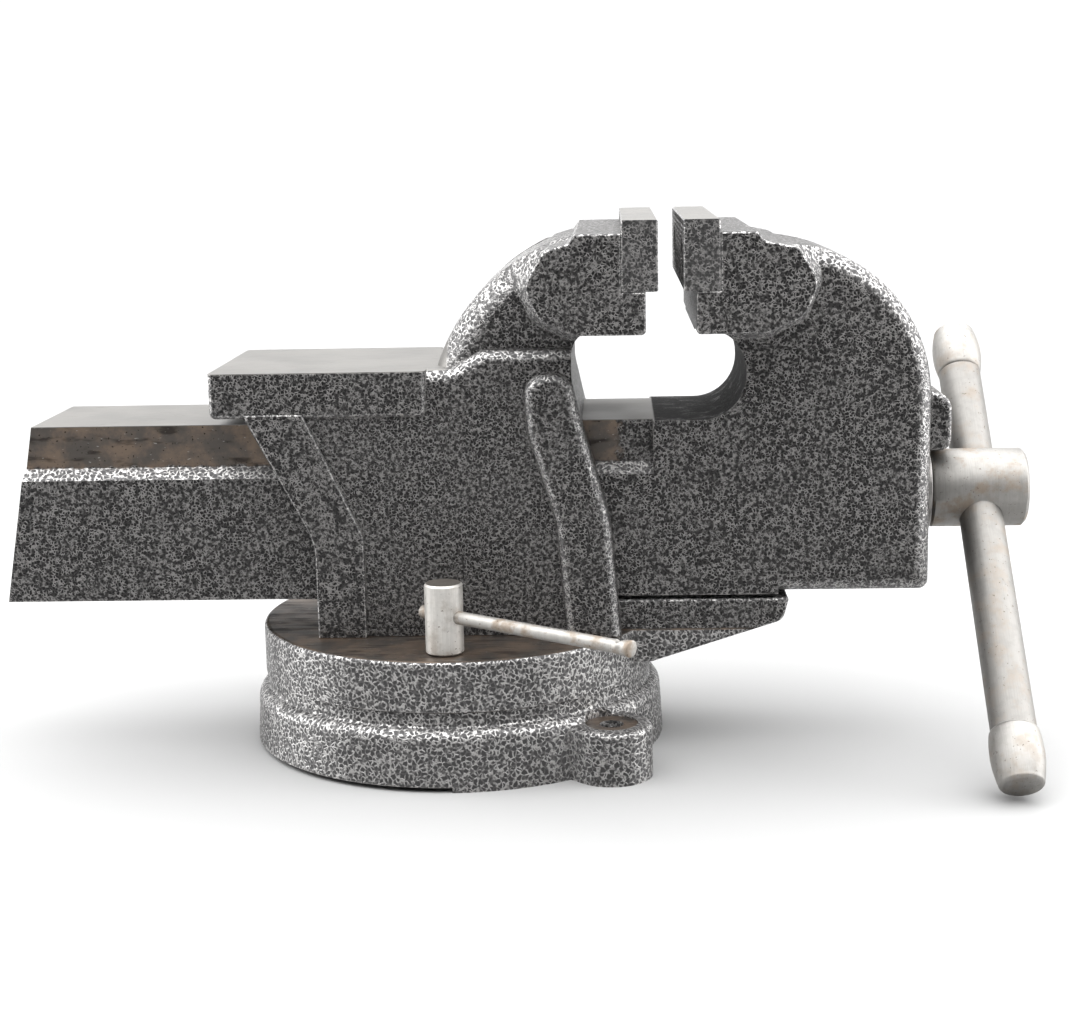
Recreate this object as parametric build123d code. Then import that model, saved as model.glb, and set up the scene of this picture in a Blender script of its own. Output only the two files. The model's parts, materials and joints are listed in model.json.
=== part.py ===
"""Swivel-base bench vise with an anvil, 150 mm jaws.

Frame: origin on the swivel axis at the bench face of the base. +X runs along the slide towards the
screw head and the handle, +Y across the jaws, +Z up. All sizes are millimetres. The model stands as
it is used, with the jaws open by jaw_gap.
"""
from build123d import *
import os
from math import cos, radians, sin

# ---- running fits -------------------------------------------------------------------------------
bore_clearance = 0.08      # radial play of a shaft, pin or thread in its bore
slide_clearance = 0.5      # play of the sliding beam in its channel, all round
face_gap = 0.3             # play between faces that move past each other

# ---- jaws ---------------------------------------------------------------------------------------
jaw_width = 150.0
jaw_gap = 11.0             # opening between the plates as the vise stands
jaw_top = 249.1
plate_thickness = 16.0
plate_height = 30.8
plate_face_x = 96.8        # working face of the fixed plate
plate_proud = 5.5          # how far a plate stands in front of the casting below it
plate_rise = 5.7           # how far a plate stands above the shoulder behind it
jaw_underside = 199.5
wing_depth = 42.5          # from the back of the plate to the fullest point of the wing's back
shoulder_fixed = 20.0
shoulder_moving = 16.0
wing_edge = 1.2            # rounding of a wing's outer edges
wing_toe = 22.0            # how far the foot of a wing falls short of its full depth
wing_heel = 6.0            # how far its slanted back falls short of it
wing_heel_rise = 7.0
wing_back_rise = 22.0      # height of its fullest point above the foot
wing_crown = 9.0           # how far its top falls short of the full depth
wing_crown_drop = 7.0
root_spread = 16.0         # how far the root of a wing spreads over the neck
root_middle_spread = 6.0   # its spread where the neck's flank is
root_depth = 8.0           # how far the root reaches into the neck
root_height = 9.0          # how far the root stands out of the neck
screw_spacing = 90.0       # between the two screws of a jaw plate
plate_screw_radius = 4.0
plate_screw_head_radius = 7.5
plate_screw_length = 18.0
plate_screw_key = 5.0      # across the flats of the key socket

# ---- sliding beam and moving jaw ----------------------------------------------------------------
slide_top = 157.1
slide_bottom = 75.2
slide_half_width = 41.0
guide_half_width = 35.3    # the machined upper flanks of the beam
guide_depth = 19.6         # height of the machined flanks
guide_slope = 4.9          # height of the slope below them
slide_rear_x = -193.7      # top rear edge of the beam
slide_rear_rake = 15.0     # how far the rear face leans back at the bottom
slide_wall = 13.0
slide_roof = 12.0
front_face_x = 222.0
front_wall = 30.0
neck_rear_x = 150.0        # rear of the solid neck below the level of the beam's roof
dome_radius_moving = 71.0
neck_round_moving = 10.0   # rounding of the front and top edges of the moving jaw
dome_drop = 7.0            # of the top of the moving jaw's neck below its shoulder
front_foot_round = 4.0     # rounding at the foot of the front face
cheek_rear_x = 95.0        # where the full width of the moving jaw begins behind the throat
cheek_reach = 13.0         # length of the painted cheek behind the face of the moving plate
throat_reach = 29.5        # of the throat behind the face of the moving plate
neck_pocket_height = 60.0  # hollow of the moving jaw above the roof of the beam
neck_pocket_length = 42.0
lip_height = 26.0          # cast lip above the screw head
lip_depth = 12.5
lip_width = 36.0
lip_lift = 2.0             # clearance of the lip above the screw head
lip_edge = 3.0

# ---- screw, nut and handle ----------------------------------------------------------------------
screw_z = 116.8
screw_radius = 12.0
screw_end_x = -134.0
head_radius = 18.6
head_length = 45.5
head_chamfer = 1.6
hole_inset = 21.7          # from the end of the head to the axis of the handle
thrust_washer_thickness = 3.7
thrust_washer_radius = 20.5
collar_radius = 18.0
collar_length = 12.0
collar_pin_radius = 2.5
collar_pin_length = 42.0
nut_x = 30.0
nut_length = 50.0
nut_half_width = 22.0
nut_rise = 20.0            # iron above the screw axis
nut_foot_length = 94.0
nut_foot_height = 10.0
nut_bolt_spacing = 74.0
nut_bolt_radius = 5.0
nut_bolt_head_radius = 8.0
nut_bolt_head_height = 8.0
nut_bolt_depth = 12.0      # length held in the floor of the body
handle_radius = 10.15
handle_tilt = 47.0         # of the handle from the vertical, lower end towards -Y
handle_low = 160.0         # from the screw axis to the lower end
handle_high = 97.0         # from the screw axis to the upper end
knob_length = 27.0
knob_radius = 11.8
knob_neck_radius = 10.9
knob_end_radius = 10.2
knob_spigot_radius = 7.0   # the bar's turned-down end, which the knob is riveted on
knob_wall = 4.0            # closed end of a knob beyond the spigot
knob_swell = 30.0          # radius of the soft crest of a knob
knob_end_round = 2.0

# ---- body ---------------------------------------------------------------------------------------
wall_half_width = 49.0
wall_top = 191.0           # shoulder where the walls step in to the neck
wall_top_round = 7.0
wall_foot_round = 10.0
wall_foot_x = 3.0          # where the shoulder rises from the level of the anvil
wall_rise = 15.0           # length over which it rises
neck_half_width = 41.0
neck_round_fixed = 16.0    # rounding of the neck's back edges
rib_proud = 2.6
rib_width = 22.5
rib_lean = 27.0            # its width along the slanted stretch under the anvil
rib_edge = 1.2
bead_proud = 6.0
bead_width = 25.0
bead_edge = 5.4            # rounding of the bead
bead_top = 180.4
inlay = 6.0                # how far a raised rib or bead reaches into the wall
body_rear_x = -61.0
body_front_x = 79.5
rear_knee_z = 104.0
rear_knee_round = 30.0
front_round = 60.0         # sweep of the front of the body
front_hip_drop = 20.0      # of that sweep's corner below the shoulder of the beam
throat_foot_round = 20.0
throat_sill_round = 30.0
anvil_top = 182.4
anvil_bottom = 161.6
anvil_rear_x = -107.0
anvil_front_x = -8.0
anvil_half_width = 51.2
anvil_round = 3.0
rear_flare_x = -91.5       # the rear of the body under the anvil
dome_radius_fixed = 91.9
dome_centre_x = 82.6
dome_centre_z = 152.4
throat_back_x = 58.0
throat_low_x = 62.5        # front of the body at the top of the slide
nose_tip_x = 157.5
nose_half_width = 40.0
nose_relief = 2.0          # gap under the slide along the nose
nose_tip_drop = 11.0
nose_root_x = 94.0
nose_root_z = 43.0
nose_edge = 2.0
front_lean = 4.5           # how far the front leans back at the beam
throat_round = 12.0        # between the back of the throat and the jaw above it

# ---- swivel flange and base ---------------------------------------------------------------------
flange_radius = 94.0
flange_height = 23.2
flange_recess_radius = 58.0
flange_recess_depth = 9.0
flange_boss_radius = 22.0
flange_round = 2.4
base_height = 35.1
base_radius = 99.0
base_waist_radius = 97.6
collar_ring_radius = 92.4
rim_shoulder_z = 26.0
rim_round = 6.5
foot_height = 2.4
foot_half_angle = 43.0
foot_width = 26.0
ear_count = 2
ear_angle = -45.0
bolt_circle_radius = 105.0
ear_radius = 18.5
ear_height = 24.5
ear_round = 3.0
bench_bolt_hole_radius = 5.5
spot_face_radius = 12.0
spot_face_depth = 0.8
pivot_radius = 8.0
pivot_head_flats = 24.0
pivot_head_height = 10.0
pivot_washer_radius = 15.0
pivot_washer_thickness = 3.0
pivot_seat_z = 19.0        # underside of the base's centre web, where the washer bears
pivot_boss_radius = 27.0
pivot_recess_radius = 17.0
pivot_thread = 24.0        # length held in the body
web_pocket_radius = 61.0

# ---- swivel locks -------------------------------------------------------------------------------
lock_circle_radius = 77.5
slot_half_width = 6.6
slot_lip = 13.1            # iron above the undercut
slot_undercut = 11.0
slot_head_half_width = 11.5
t_bolt_radius = 6.0
t_head_length = 20.0
t_head_width = 20.0
t_head_height = 8.0
t_bolt_reach = 12.0        # thread above the flange
lock_nut_radius = 8.6
lock_nut_height = 32.0
lock_nut_chamfer = 0.8
lock_bar_z = 17.4          # of the bar above the flange
lock_bar_radius = 3.0
lock_bar_angle = -36.0     # direction of the long end of the near bar
lock_bar_long = 103.0
lock_bar_short = 12.8
lock_bar_upset = 0.9       # how far a peened end stands over the bar
lock_bar_upset_length = 5.0
slot_entry_angle = 45.0    # hole in the floor of the slot, where the bolts go in

# ---- places that follow -------------------------------------------------------------------------
plate_bottom = jaw_top - plate_height
shoulder_top = jaw_top - plate_rise
moving_face_x = plate_face_x + jaw_gap
guide_bottom = slide_top - guide_depth
beam_shoulder = guide_bottom - guide_slope
flange_bottom = base_height + face_gap
flange_top = flange_bottom + flange_height
channel_floor = slide_bottom - slide_clearance
nose_top = slide_bottom - nose_relief
hollow_half_width = slide_half_width - slide_wall
hollow_top = slide_top - slide_roof
hollow_front_x = front_face_x - front_wall
throat_radius = (jaw_underside - slide_top) / 2 - slide_clearance
head_x = front_face_x + thrust_washer_thickness + face_gap
head_end_x = head_x + head_length
handle_x = head_end_x - hole_inset
slot_top = base_height - slot_lip
slot_floor = slot_top - slot_undercut
past = 2.0                 # how far a cutter runs past the face that it opens
on_base = (Align.CENTER, Align.CENTER, Align.MIN)


def rounded(corners):
    """Closed face through (x, z) corners; a third number rounds that corner to a radius."""
    count = len(corners)
    spans = []
    for index, corner in enumerate(corners):
        here = Vector(corner[0], corner[1])
        if len(corner) < 3:
            spans.append((here, None, here))
            continue
        radius = corner[2]
        before = (Vector(*corners[index - 1][:2]) - here).normalized()
        after = (Vector(*corners[(index + 1) % count][:2]) - here).normalized()
        half = radians(before.get_angle(after)) / 2
        middle = here + (before + after).normalized() * (radius / sin(half) - radius)
        reach = radius * cos(half) / sin(half)
        spans.append((here + before * reach, middle, here + after * reach))
    edges = []
    for index, (start, middle, end) in enumerate(spans):
        if middle is not None:
            edges.append(Edge.make_three_point_arc(start, middle, end))
        follow = spans[(index + 1) % count][0]
        if (follow - end).length > 1e-6:
            edges.append(Edge.make_line(end, follow))
    face = Face(Wire(edges))
    return face if face.normal_at().Z > 0 else -face


def slab(corners, low, high):
    """Side outline given in X and Z, as a plate from Y = low to Y = high."""
    face = Plane.XZ * rounded(corners)
    return Pos(0, high, 0) * extrude(face, amount=high - low)


def wide_slab(corners, half_width):
    return slab(corners, -half_width, half_width)


def both_sides(solid):
    return solid + mirror(solid, Plane.XZ)


def block(low, high):
    size = [b - a for a, b in zip(low, high)]
    centre = [(a + b) / 2 for a, b in zip(low, high)]
    return Pos(*centre) * Box(*size)


def post(radius, low, high, x=0.0, y=0.0):
    """Upright cylinder between two heights."""
    return Pos(x, y, (low + high) / 2) * Cylinder(radius, high - low)


def rod_x(radius, low, high, z=screw_z):
    """Cylinder along X."""
    return Pos((low + high) / 2, 0, z) * Rot(0, 90, 0) * Cylinder(radius, high - low)


def polar(radius, angle):
    return radius * cos(radians(angle)), radius * sin(radians(angle))


def turned(profile):
    """Solid of revolution about Z from (radius, z) corners."""
    return revolve(Plane.XZ * rounded(profile), Axis.Z)


# ---- swivel base --------------------------------------------------------------------------------
def make_ear(angle):
    x, y = polar(bolt_circle_radius, angle)
    lobe = post(ear_radius, 0, ear_height, x, y)
    root = Rot(0, 0, angle) * block((web_pocket_radius + ear_radius, -ear_radius, 0),
                                    (bolt_circle_radius, ear_radius, ear_height))
    ear = lobe + root
    return fillet(ear.edges().group_by(Axis.Z)[-1], ear_round)


def make_foot(angle):
    """Raised pad under the rim, either side of an ear."""
    ring = post(base_radius, 0, foot_height) - post(base_radius - foot_width, -past, foot_height + past)
    reach = 2 * base_radius
    sweep = radians(foot_half_angle)
    wedge = Polygon((0, 0), (reach * cos(sweep), -reach * sin(sweep)), (reach, 0),
                    (reach * cos(sweep), reach * sin(sweep)), align=None)
    return ring & Rot(0, 0, angle) * extrude(wedge, amount=foot_height)


def make_swivel_base():
    body = turned([(0, foot_height), (base_radius, foot_height),
                   (base_waist_radius, rim_shoulder_z, rim_round),
                   (collar_ring_radius, rim_shoulder_z + foot_height, 1.5),
                   (collar_ring_radius, base_height), (0, base_height)])
    angles = [ear_angle + index * 360 / ear_count for index in range(ear_count)]
    for angle in angles:
        body += make_ear(angle)
        body += make_foot(angle)
    body -= turned([(slot_floor_inner(), slot_floor), (slot_floor_outer(), slot_floor),
                    (slot_floor_outer(), slot_top), (lock_circle_radius + slot_half_width, slot_top),
                    (lock_circle_radius + slot_half_width, base_height + past),
                    (lock_circle_radius - slot_half_width, base_height + past),
                    (lock_circle_radius - slot_half_width, slot_top), (slot_floor_inner(), slot_top)])
    body -= turned([(pivot_boss_radius, 0), (web_pocket_radius, 0), (web_pocket_radius, slot_top, 3),
                    (pivot_boss_radius, slot_top, 3)])
    body -= post(pivot_recess_radius, -past, pivot_seat_z)
    body -= post(pivot_radius + bore_clearance, 0, base_height + past)
    entry = t_head_length / 2 + past
    body -= Rot(0, 0, slot_entry_angle) * block((slot_floor_inner(), -entry, -past),
                                                (slot_floor_outer(), entry, slot_floor + past))
    for angle in angles:
        x, y = polar(bolt_circle_radius, angle)
        body -= post(bench_bolt_hole_radius, -past, ear_height + past, x, y)
        body -= post(spot_face_radius, ear_height - spot_face_depth, ear_height + ear_height / 4, x, y)
    return body


def slot_floor_inner():
    return lock_circle_radius - slot_head_half_width


def slot_floor_outer():
    return lock_circle_radius + slot_head_half_width


def make_pivot_bolt():
    top = pivot_seat_z - pivot_washer_thickness - face_gap
    head = Pos(0, 0, top - pivot_head_height) * extrude(
        RegularPolygon(pivot_head_flats / 2, 6, major_radius=False), amount=pivot_head_height)
    shank = chamfer(post(pivot_radius, top, flange_bottom + pivot_thread).edges().sort_by(Axis.Z)[-1], 1.0)
    return chamfer(head.edges().sort_by(Axis.Z)[:6], 0.8) + shank


def make_pivot_washer():
    top = pivot_seat_z - face_gap
    return post(pivot_washer_radius, top - pivot_washer_thickness, top) - post(
        pivot_radius + bore_clearance, 0, base_height)


# ---- body ---------------------------------------------------------------------------------------
def front_edge():
    """Outline of the front of the body, from the throat down to the flange."""
    return [(throat_back_x, slide_top + throat_radius, throat_foot_round),
            (throat_low_x, slide_top, throat_sill_round),
            (body_front_x - front_lean, beam_shoulder - front_hip_drop, front_round),
            (body_front_x, flange_top - past)]


def make_walls():
    """Walls of the body from the flange to the shoulder beside the neck, with the seat of the anvil."""
    outline = [(body_rear_x, flange_top - past), (body_rear_x, rear_knee_z, rear_knee_round),
               (rear_flare_x, anvil_bottom), (rear_flare_x, anvil_top),
               (wall_foot_x, anvil_top, wall_foot_round),
               (wall_foot_x + wall_rise, wall_top, wall_foot_round), (throat_back_x, wall_top), *front_edge()]
    walls = wide_slab(outline, wall_half_width)

    def on_shoulder(edge):
        spot = edge.center()
        return abs(spot.Y) > neck_half_width and spot.Z > anvil_top + past and spot.X < throat_back_x - past

    return fillet(walls.edges().filter_by(on_shoulder), wall_top_round)


def make_neck():
    """Neck of the fixed jaw: its back is an arc about a line across the jaws, with broad round edges."""
    disc = fixed_disc(neck_half_width)
    return fillet(disc.edges().filter_by(GeomType.CIRCLE), neck_round_fixed) & fixed_neck_reach()


def fixed_disc(half_width):
    """Disc across the jaws whose rim is the back of the fixed jaw's neck."""
    return Pos(dome_centre_x, 0, dome_centre_z) * Rot(90, 0, 0) * Cylinder(dome_radius_fixed, 2 * half_width)


def fixed_neck_reach():
    """Everything between the anvil, the throat and the fixed plate, over the width of the jaws."""
    back = plate_face_x - plate_thickness
    front = plate_face_x - plate_proud
    return wide_slab([(anvil_front_x, anvil_bottom), (anvil_front_x, shoulder_top), (back, shoulder_top),
                      (back, plate_bottom), (front, plate_bottom), (front, jaw_underside),
                      (throat_back_x, jaw_underside, throat_round), (throat_back_x, anvil_bottom)],
                     jaw_width / 2)


def wing_outline(back, shoulder, side):
    """Side outline of a jaw's wing; side is +1 where the wing lies behind the fixed plate."""
    def at(depth, z, *radius):
        return (back - side * depth, z, *radius)
    step = plate_thickness - plate_proud
    foot = jaw_underside
    return [at(-step, foot, 2), at(wing_depth - wing_toe, foot, 9),
            at(wing_depth - wing_heel, foot + wing_heel_rise, 12), at(wing_depth, foot + wing_back_rise, 9),
            at(wing_depth - wing_crown, shoulder_top - wing_crown_drop, 5),
            at(shoulder + 3, shoulder_top - 4, 3), at(shoulder, shoulder_top, 1.5),
            at(0, shoulder_top), at(0, plate_bottom), at(-step, plate_bottom)]


def root_section(back, side, y, spread):
    """Section of a wing's root at a distance from the middle, spread out round the wing."""
    def at(depth, z, *radius):
        return (back - side * depth, z, *radius)
    foot = jaw_underside
    top = shoulder_top - wing_crown_drop
    outline = [at(-plate_thickness, foot - spread),
               at(wing_depth - wing_toe + 0.3 * spread, foot - spread, 9 + spread),
               at(wing_depth - wing_heel + 0.7 * spread, foot + wing_heel_rise - 0.7 * spread,
                  12 + spread / 2),
               at(wing_depth + spread, foot + wing_back_rise, 9 + spread / 2),
               at(wing_depth - wing_crown + spread, top, 5), at(-plate_thickness, top)]
    return Pos(0, -y, 0) * (Plane.XZ * rounded(outline))


def make_wing_roots(back, side):
    """Flared roots that carry the wings out of the neck's flanks, one on each side."""
    flank = neck_half_width
    places = ((flank - root_depth, root_spread), (flank, root_middle_spread), (flank + root_height, 0.0))
    return both_sides(loft([root_section(back, side, y, spread) for y, spread in places], ruled=True))


def make_wings(back, shoulder, side):
    wings = wide_slab(wing_outline(back, shoulder, side), jaw_width / 2)
    ends = wings.faces().sort_by(Axis.Y)
    return fillet(ends[0].edges() + ends[-1].edges(), wing_edge)


def plate_screw_holes(back, side):
    holes = []
    for y in (-screw_spacing / 2, screw_spacing / 2):
        start = back - side * plate_screw_length
        end = back + side * past
        holes.append(rod_between(Vector(start, y, plate_screw_z()), Vector(end, y, plate_screw_z()),
                                 plate_screw_radius))
    return holes


def plate_screw_z():
    return jaw_top - plate_height / 2


def rod_between(start, end, radius):
    """Cylinder from one point to another."""
    axis = end - start
    return Plane(origin=start, z_dir=axis) * Cylinder(radius, axis.length, align=on_base)


def make_rib():
    """Raised leg at the rear of one side, from the anvil to the flange."""
    inner_x = body_rear_x + rib_width
    outline = [(body_rear_x, flange_top - past), (body_rear_x, rear_knee_z, rear_knee_round),
               (rear_flare_x, anvil_bottom + past), (rear_flare_x + rib_lean, anvil_bottom + past),
               (inner_x, rear_knee_z + rib_proud, 12), (inner_x, flange_top - past)]
    rib = slab(outline, wall_half_width - inlay, wall_half_width + rib_proud)
    return fillet(rib.faces().sort_by(Axis.Y)[-1].edges(), rib_edge)


def make_bead():
    """Rounded bead down the front edge of one side, from the throat to the flange."""
    hip_x = body_front_x - front_lean
    hip_z = beam_shoulder - front_hip_drop
    outline = [(throat_back_x - 1, bead_top, 10), (throat_low_x, slide_top, throat_sill_round),
               (hip_x, hip_z, front_round), (body_front_x, flange_top - past),
               (body_front_x - bead_width, flange_top - past), (hip_x - bead_width, hip_z, front_round),
               (throat_low_x - bead_width, slide_top - 3, throat_sill_round),
               (throat_back_x - bead_width + 3, bead_top, 10)]
    bead = slab(outline, wall_half_width - inlay, wall_half_width + bead_proud)
    return fillet(bead.faces().sort_by(Axis.Y)[-1].edges(), bead_edge)


def make_nose():
    """Shelf of the body under the moving jaw."""
    low = nose_top - nose_tip_drop
    outline = [(0, nose_top), (nose_tip_x, nose_top, 1.5), (nose_tip_x - 3, low, 6),
               (nose_root_x, nose_root_z), (0, nose_root_z)]
    nose = wide_slab(outline, nose_half_width)

    def below(edge):
        spot = edge.center()
        return abs(spot.Y) > nose_half_width / 2 and spot.Z < nose_top - nose_edge and spot.X > nose_root_x

    return fillet(nose.edges().filter_by(GeomType.LINE).filter_by(below), nose_edge)


def channel_section(clearance):
    """Cross-section of the beam in Y and Z, grown by a clearance."""
    upper = guide_half_width + clearance
    lower = slide_half_width + clearance
    half = [(lower, slide_bottom - clearance), (lower, beam_shoulder + clearance),
            (upper, guide_bottom + clearance), (upper, slide_top + clearance)]
    return rounded([(-y, z) for y, z in half] + half[::-1])


def beam(low, high, clearance=0.0):
    """The beam's section carried along X."""
    plane = Plane(origin=(low, 0, 0), x_dir=(0, 1, 0), z_dir=(1, 0, 0))
    return extrude(plane * channel_section(clearance), amount=high - low)


def make_anvil():
    anvil = block((anvil_rear_x, -anvil_half_width, anvil_bottom),
                  (anvil_front_x, anvil_half_width, anvil_top))
    low = anvil.edges().group_by(Axis.Z)[0]
    upright = anvil.edges().filter_by(Axis.Z)
    return fillet(low + upright, anvil_round)


def make_vise_body():
    back = plate_face_x - plate_thickness
    core = make_walls() + make_anvil() + make_neck()
    core += make_wing_roots(back, 1) & fixed_disc(jaw_width) & fixed_neck_reach()
    core += make_wings(back, shoulder_fixed, 1)
    core += both_sides(make_rib()) + both_sides(make_bead())
    core += make_nose()
    flange = post(flange_radius, flange_bottom, flange_top)
    core += fillet(flange.edges().sort_by(Axis.Z)[-1], flange_round)
    core -= turned([(flange_boss_radius, flange_bottom - past), (flange_recess_radius, flange_bottom - past),
                    (flange_recess_radius, flange_bottom + flange_recess_depth, 3),
                    (flange_boss_radius, flange_bottom + flange_recess_depth, 3)])
    core -= beam(anvil_rear_x - past, body_front_x + past, slide_clearance)
    core -= post(pivot_radius, flange_bottom - past, flange_bottom + pivot_thread)
    for side in (-1, 1):
        core -= post(t_bolt_radius, flange_bottom - past, flange_top + past, 0, side * lock_circle_radius)
    for x in nut_bolt_places():
        core -= post(nut_bolt_radius, channel_floor - nut_bolt_depth, channel_floor + past, x, 0)
    for hole in plate_screw_holes(back, 1):
        core -= hole
    return core


# ---- moving jaw ---------------------------------------------------------------------------------
def moving_neck():
    """Neck, throat and front of the moving jaw, with round outer edges."""
    face = moving_face_x + plate_proud
    throat_x = moving_face_x + throat_reach
    crown = shoulder_top - dome_drop
    low = slide_top - past
    outline = [(cheek_rear_x, low), (cheek_rear_x, slide_top), (throat_x, slide_top, throat_radius),
               (throat_x, jaw_underside, throat_radius), (face, jaw_underside), (face, crown),
               (front_face_x, crown, dome_radius_moving), (front_face_x, slide_bottom, front_foot_round),
               (neck_rear_x, slide_bottom), (neck_rear_x, low)]
    neck = wide_slab(outline, neck_half_width)

    def outer(edge):
        spot = edge.center()
        past_throat = spot.Z > crown - past or spot.X > throat_x + throat_radius
        return past_throat and abs(spot.Y) > neck_half_width - past

    return fillet(neck.edges().filter_by(outer).filter_by(lambda edge: edge.center().Z > slide_bottom + past),
                  neck_round_moving)


def moving_neck_reach():
    """Everything the moving jaw's neck covers, over the width of the jaws."""
    face = moving_face_x + plate_proud
    throat_x = moving_face_x + throat_reach
    crown = shoulder_top - dome_drop
    return wide_slab([(throat_x, slide_top), (throat_x, jaw_underside, throat_radius), (face, jaw_underside),
                      (face, crown), (front_face_x, crown, dome_radius_moving), (front_face_x, slide_top)],
                     jaw_width / 2)


def beam_end():
    """What the slanted rear face cuts off the beam."""
    tail_x = slide_rear_x - slide_rear_rake
    return wide_slab([(tail_x - past, slide_bottom - past), (tail_x, slide_bottom - past),
                      (slide_rear_x, slide_top), (slide_rear_x, slide_top + past),
                      (tail_x - past, slide_top + past)],
                     slide_half_width + past)


def make_moving_jaw():
    back = moving_face_x + plate_thickness
    tail_x = slide_rear_x - slide_rear_rake
    jaw = moving_neck() + (make_wing_roots(back, -1) & moving_neck_reach())
    jaw += beam(tail_x, front_face_x - dome_radius_moving)
    jaw += make_wings(back, shoulder_moving, -1) - plate_seat(back)
    jaw += block((moving_face_x - cheek_reach, -slide_half_width, slide_bottom),
                 (neck_rear_x + past, slide_half_width, slide_top))
    jaw += make_lip()
    jaw -= plate_seat(back)
    jaw -= beam_end()
    jaw -= block((tail_x - past, -hollow_half_width, slide_bottom - past),
                 (hollow_front_x, hollow_half_width, hollow_top))
    jaw -= block((hollow_front_x - neck_pocket_length, -hollow_half_width, hollow_top - past),
                 (hollow_front_x, hollow_half_width, hollow_top + neck_pocket_height))
    jaw -= rod_x(screw_radius + bore_clearance, hollow_front_x - past, front_face_x + past)
    for hole in plate_screw_holes(back, -1):
        jaw -= hole
    return jaw


def plate_seat(back):
    """Room for the moving plate and for what it clamps."""
    return block((moving_face_x - past, -jaw_width / 2 - past, plate_bottom),
                 (back, jaw_width / 2 + past, jaw_top + past))


def make_lip():
    """Cast lip on the front face, just above the screw head."""
    low = screw_z + head_radius + lip_lift
    outline = [(front_face_x - past, low), (front_face_x + lip_depth, low, 5),
               (front_face_x + lip_depth, low + lip_height, 9),
               (front_face_x - past, low + lip_height + lip_edge)]
    lip = wide_slab(outline, lip_width / 2)
    ends = lip.faces().sort_by(Axis.Y)
    return fillet(ends[0].edges() + ends[-1].edges(), lip_edge)


# ---- jaw plates ---------------------------------------------------------------------------------
def make_jaw_plate(back, side):
    """side is +1 for the fixed plate, whose working face looks along +X."""
    face = back + side * plate_thickness
    low, high = min(back, face), max(back, face)
    plate = block((low, -jaw_width / 2, plate_bottom), (high, jaw_width / 2, jaw_top))
    plate = chamfer(plate.edges(), 0.6)
    for y in (-screw_spacing / 2, screw_spacing / 2):
        centre = Vector(back, y, plate_screw_z())
        plate -= rod_between(centre - Vector(side, 0, 0), Vector(face + side, y, plate_screw_z()),
                             plate_screw_radius + bore_clearance)
        seat = Vector(face - side * plate_screw_head_radius, y, plate_screw_z())
        mouth = Vector(face + side, y, plate_screw_z())
        plate -= rod_between(seat, mouth, plate_screw_head_radius + bore_clearance)
    return plate


def make_plate_screws(back, side):
    """Two cap screws, heads sunk in the working face."""
    face = back + side * plate_thickness
    screws = []
    for y in (-screw_spacing / 2, screw_spacing / 2):
        z = plate_screw_z()
        head_back = Vector(face - side * plate_screw_head_radius, y, z)
        head_front = Vector(face - side * 0.8, y, z)
        screw = rod_between(head_back, head_front, plate_screw_head_radius)
        tip = Vector(back - side * (plate_screw_length - 1), y, z)
        screw += rod_between(tip, head_back, plate_screw_radius)
        key = Plane(origin=head_front - Vector(side * 4, 0, 0), z_dir=(side, 0, 0))
        screw -= extrude(key * RegularPolygon(plate_screw_key / 2, 6, major_radius=False), amount=5)
        screws.append(screw)
    return Compound(screws)


# ---- screw and nut ------------------------------------------------------------------------------
def handle_plane(distance=0.0):
    """Plane square to the handle, at a distance below the screw along it."""
    tilt = radians(handle_tilt)
    along = Vector(0, -sin(tilt), -cos(tilt))
    return Plane(origin=Vector(handle_x, 0, screw_z) + along * distance, x_dir=(1, 0, 0), z_dir=along)


def make_lead_screw():
    head = chamfer(rod_x(head_radius, head_x, head_end_x).edges(), head_chamfer)
    shank = chamfer(rod_x(screw_radius, screw_end_x, head_x + 1).edges().sort_by(Axis.X)[0], 2.0)
    screw = head + shank
    screw -= handle_plane() * Cylinder(handle_radius + bore_clearance, 3 * head_radius)
    screw -= Pos(collar_centre(), 0, screw_z) * Rot(90, 0, 0) * Cylinder(collar_pin_radius, 3 * screw_radius)
    return screw


def collar_centre():
    return hollow_front_x - face_gap - collar_length / 2


def make_thrust_washer():
    ring = rod_x(thrust_washer_radius, front_face_x, front_face_x + thrust_washer_thickness)
    bore = rod_x(screw_radius + bore_clearance, front_face_x - past, head_x + past)
    return chamfer(ring.edges(), 0.4) - bore


def make_retaining_collar():
    low = collar_centre() - collar_length / 2
    ring = chamfer(rod_x(collar_radius, low, low + collar_length).edges(), 0.8)
    ring -= rod_x(screw_radius, low - past, low + collar_length + past)
    middle = Pos(collar_centre(), 0, screw_z) * Rot(90, 0, 0)
    pin_hole = middle * Cylinder(collar_pin_radius, 3 * collar_radius)
    return ring - pin_hole


def make_collar_pin():
    pin = Pos(collar_centre(), 0, screw_z) * Rot(90, 0, 0) * Cylinder(collar_pin_radius, collar_pin_length)
    return chamfer(pin.edges().filter_by(GeomType.CIRCLE), 0.6)


def nut_bolt_places():
    return [nut_x - nut_bolt_spacing / 2, nut_x + nut_bolt_spacing / 2]


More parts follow.
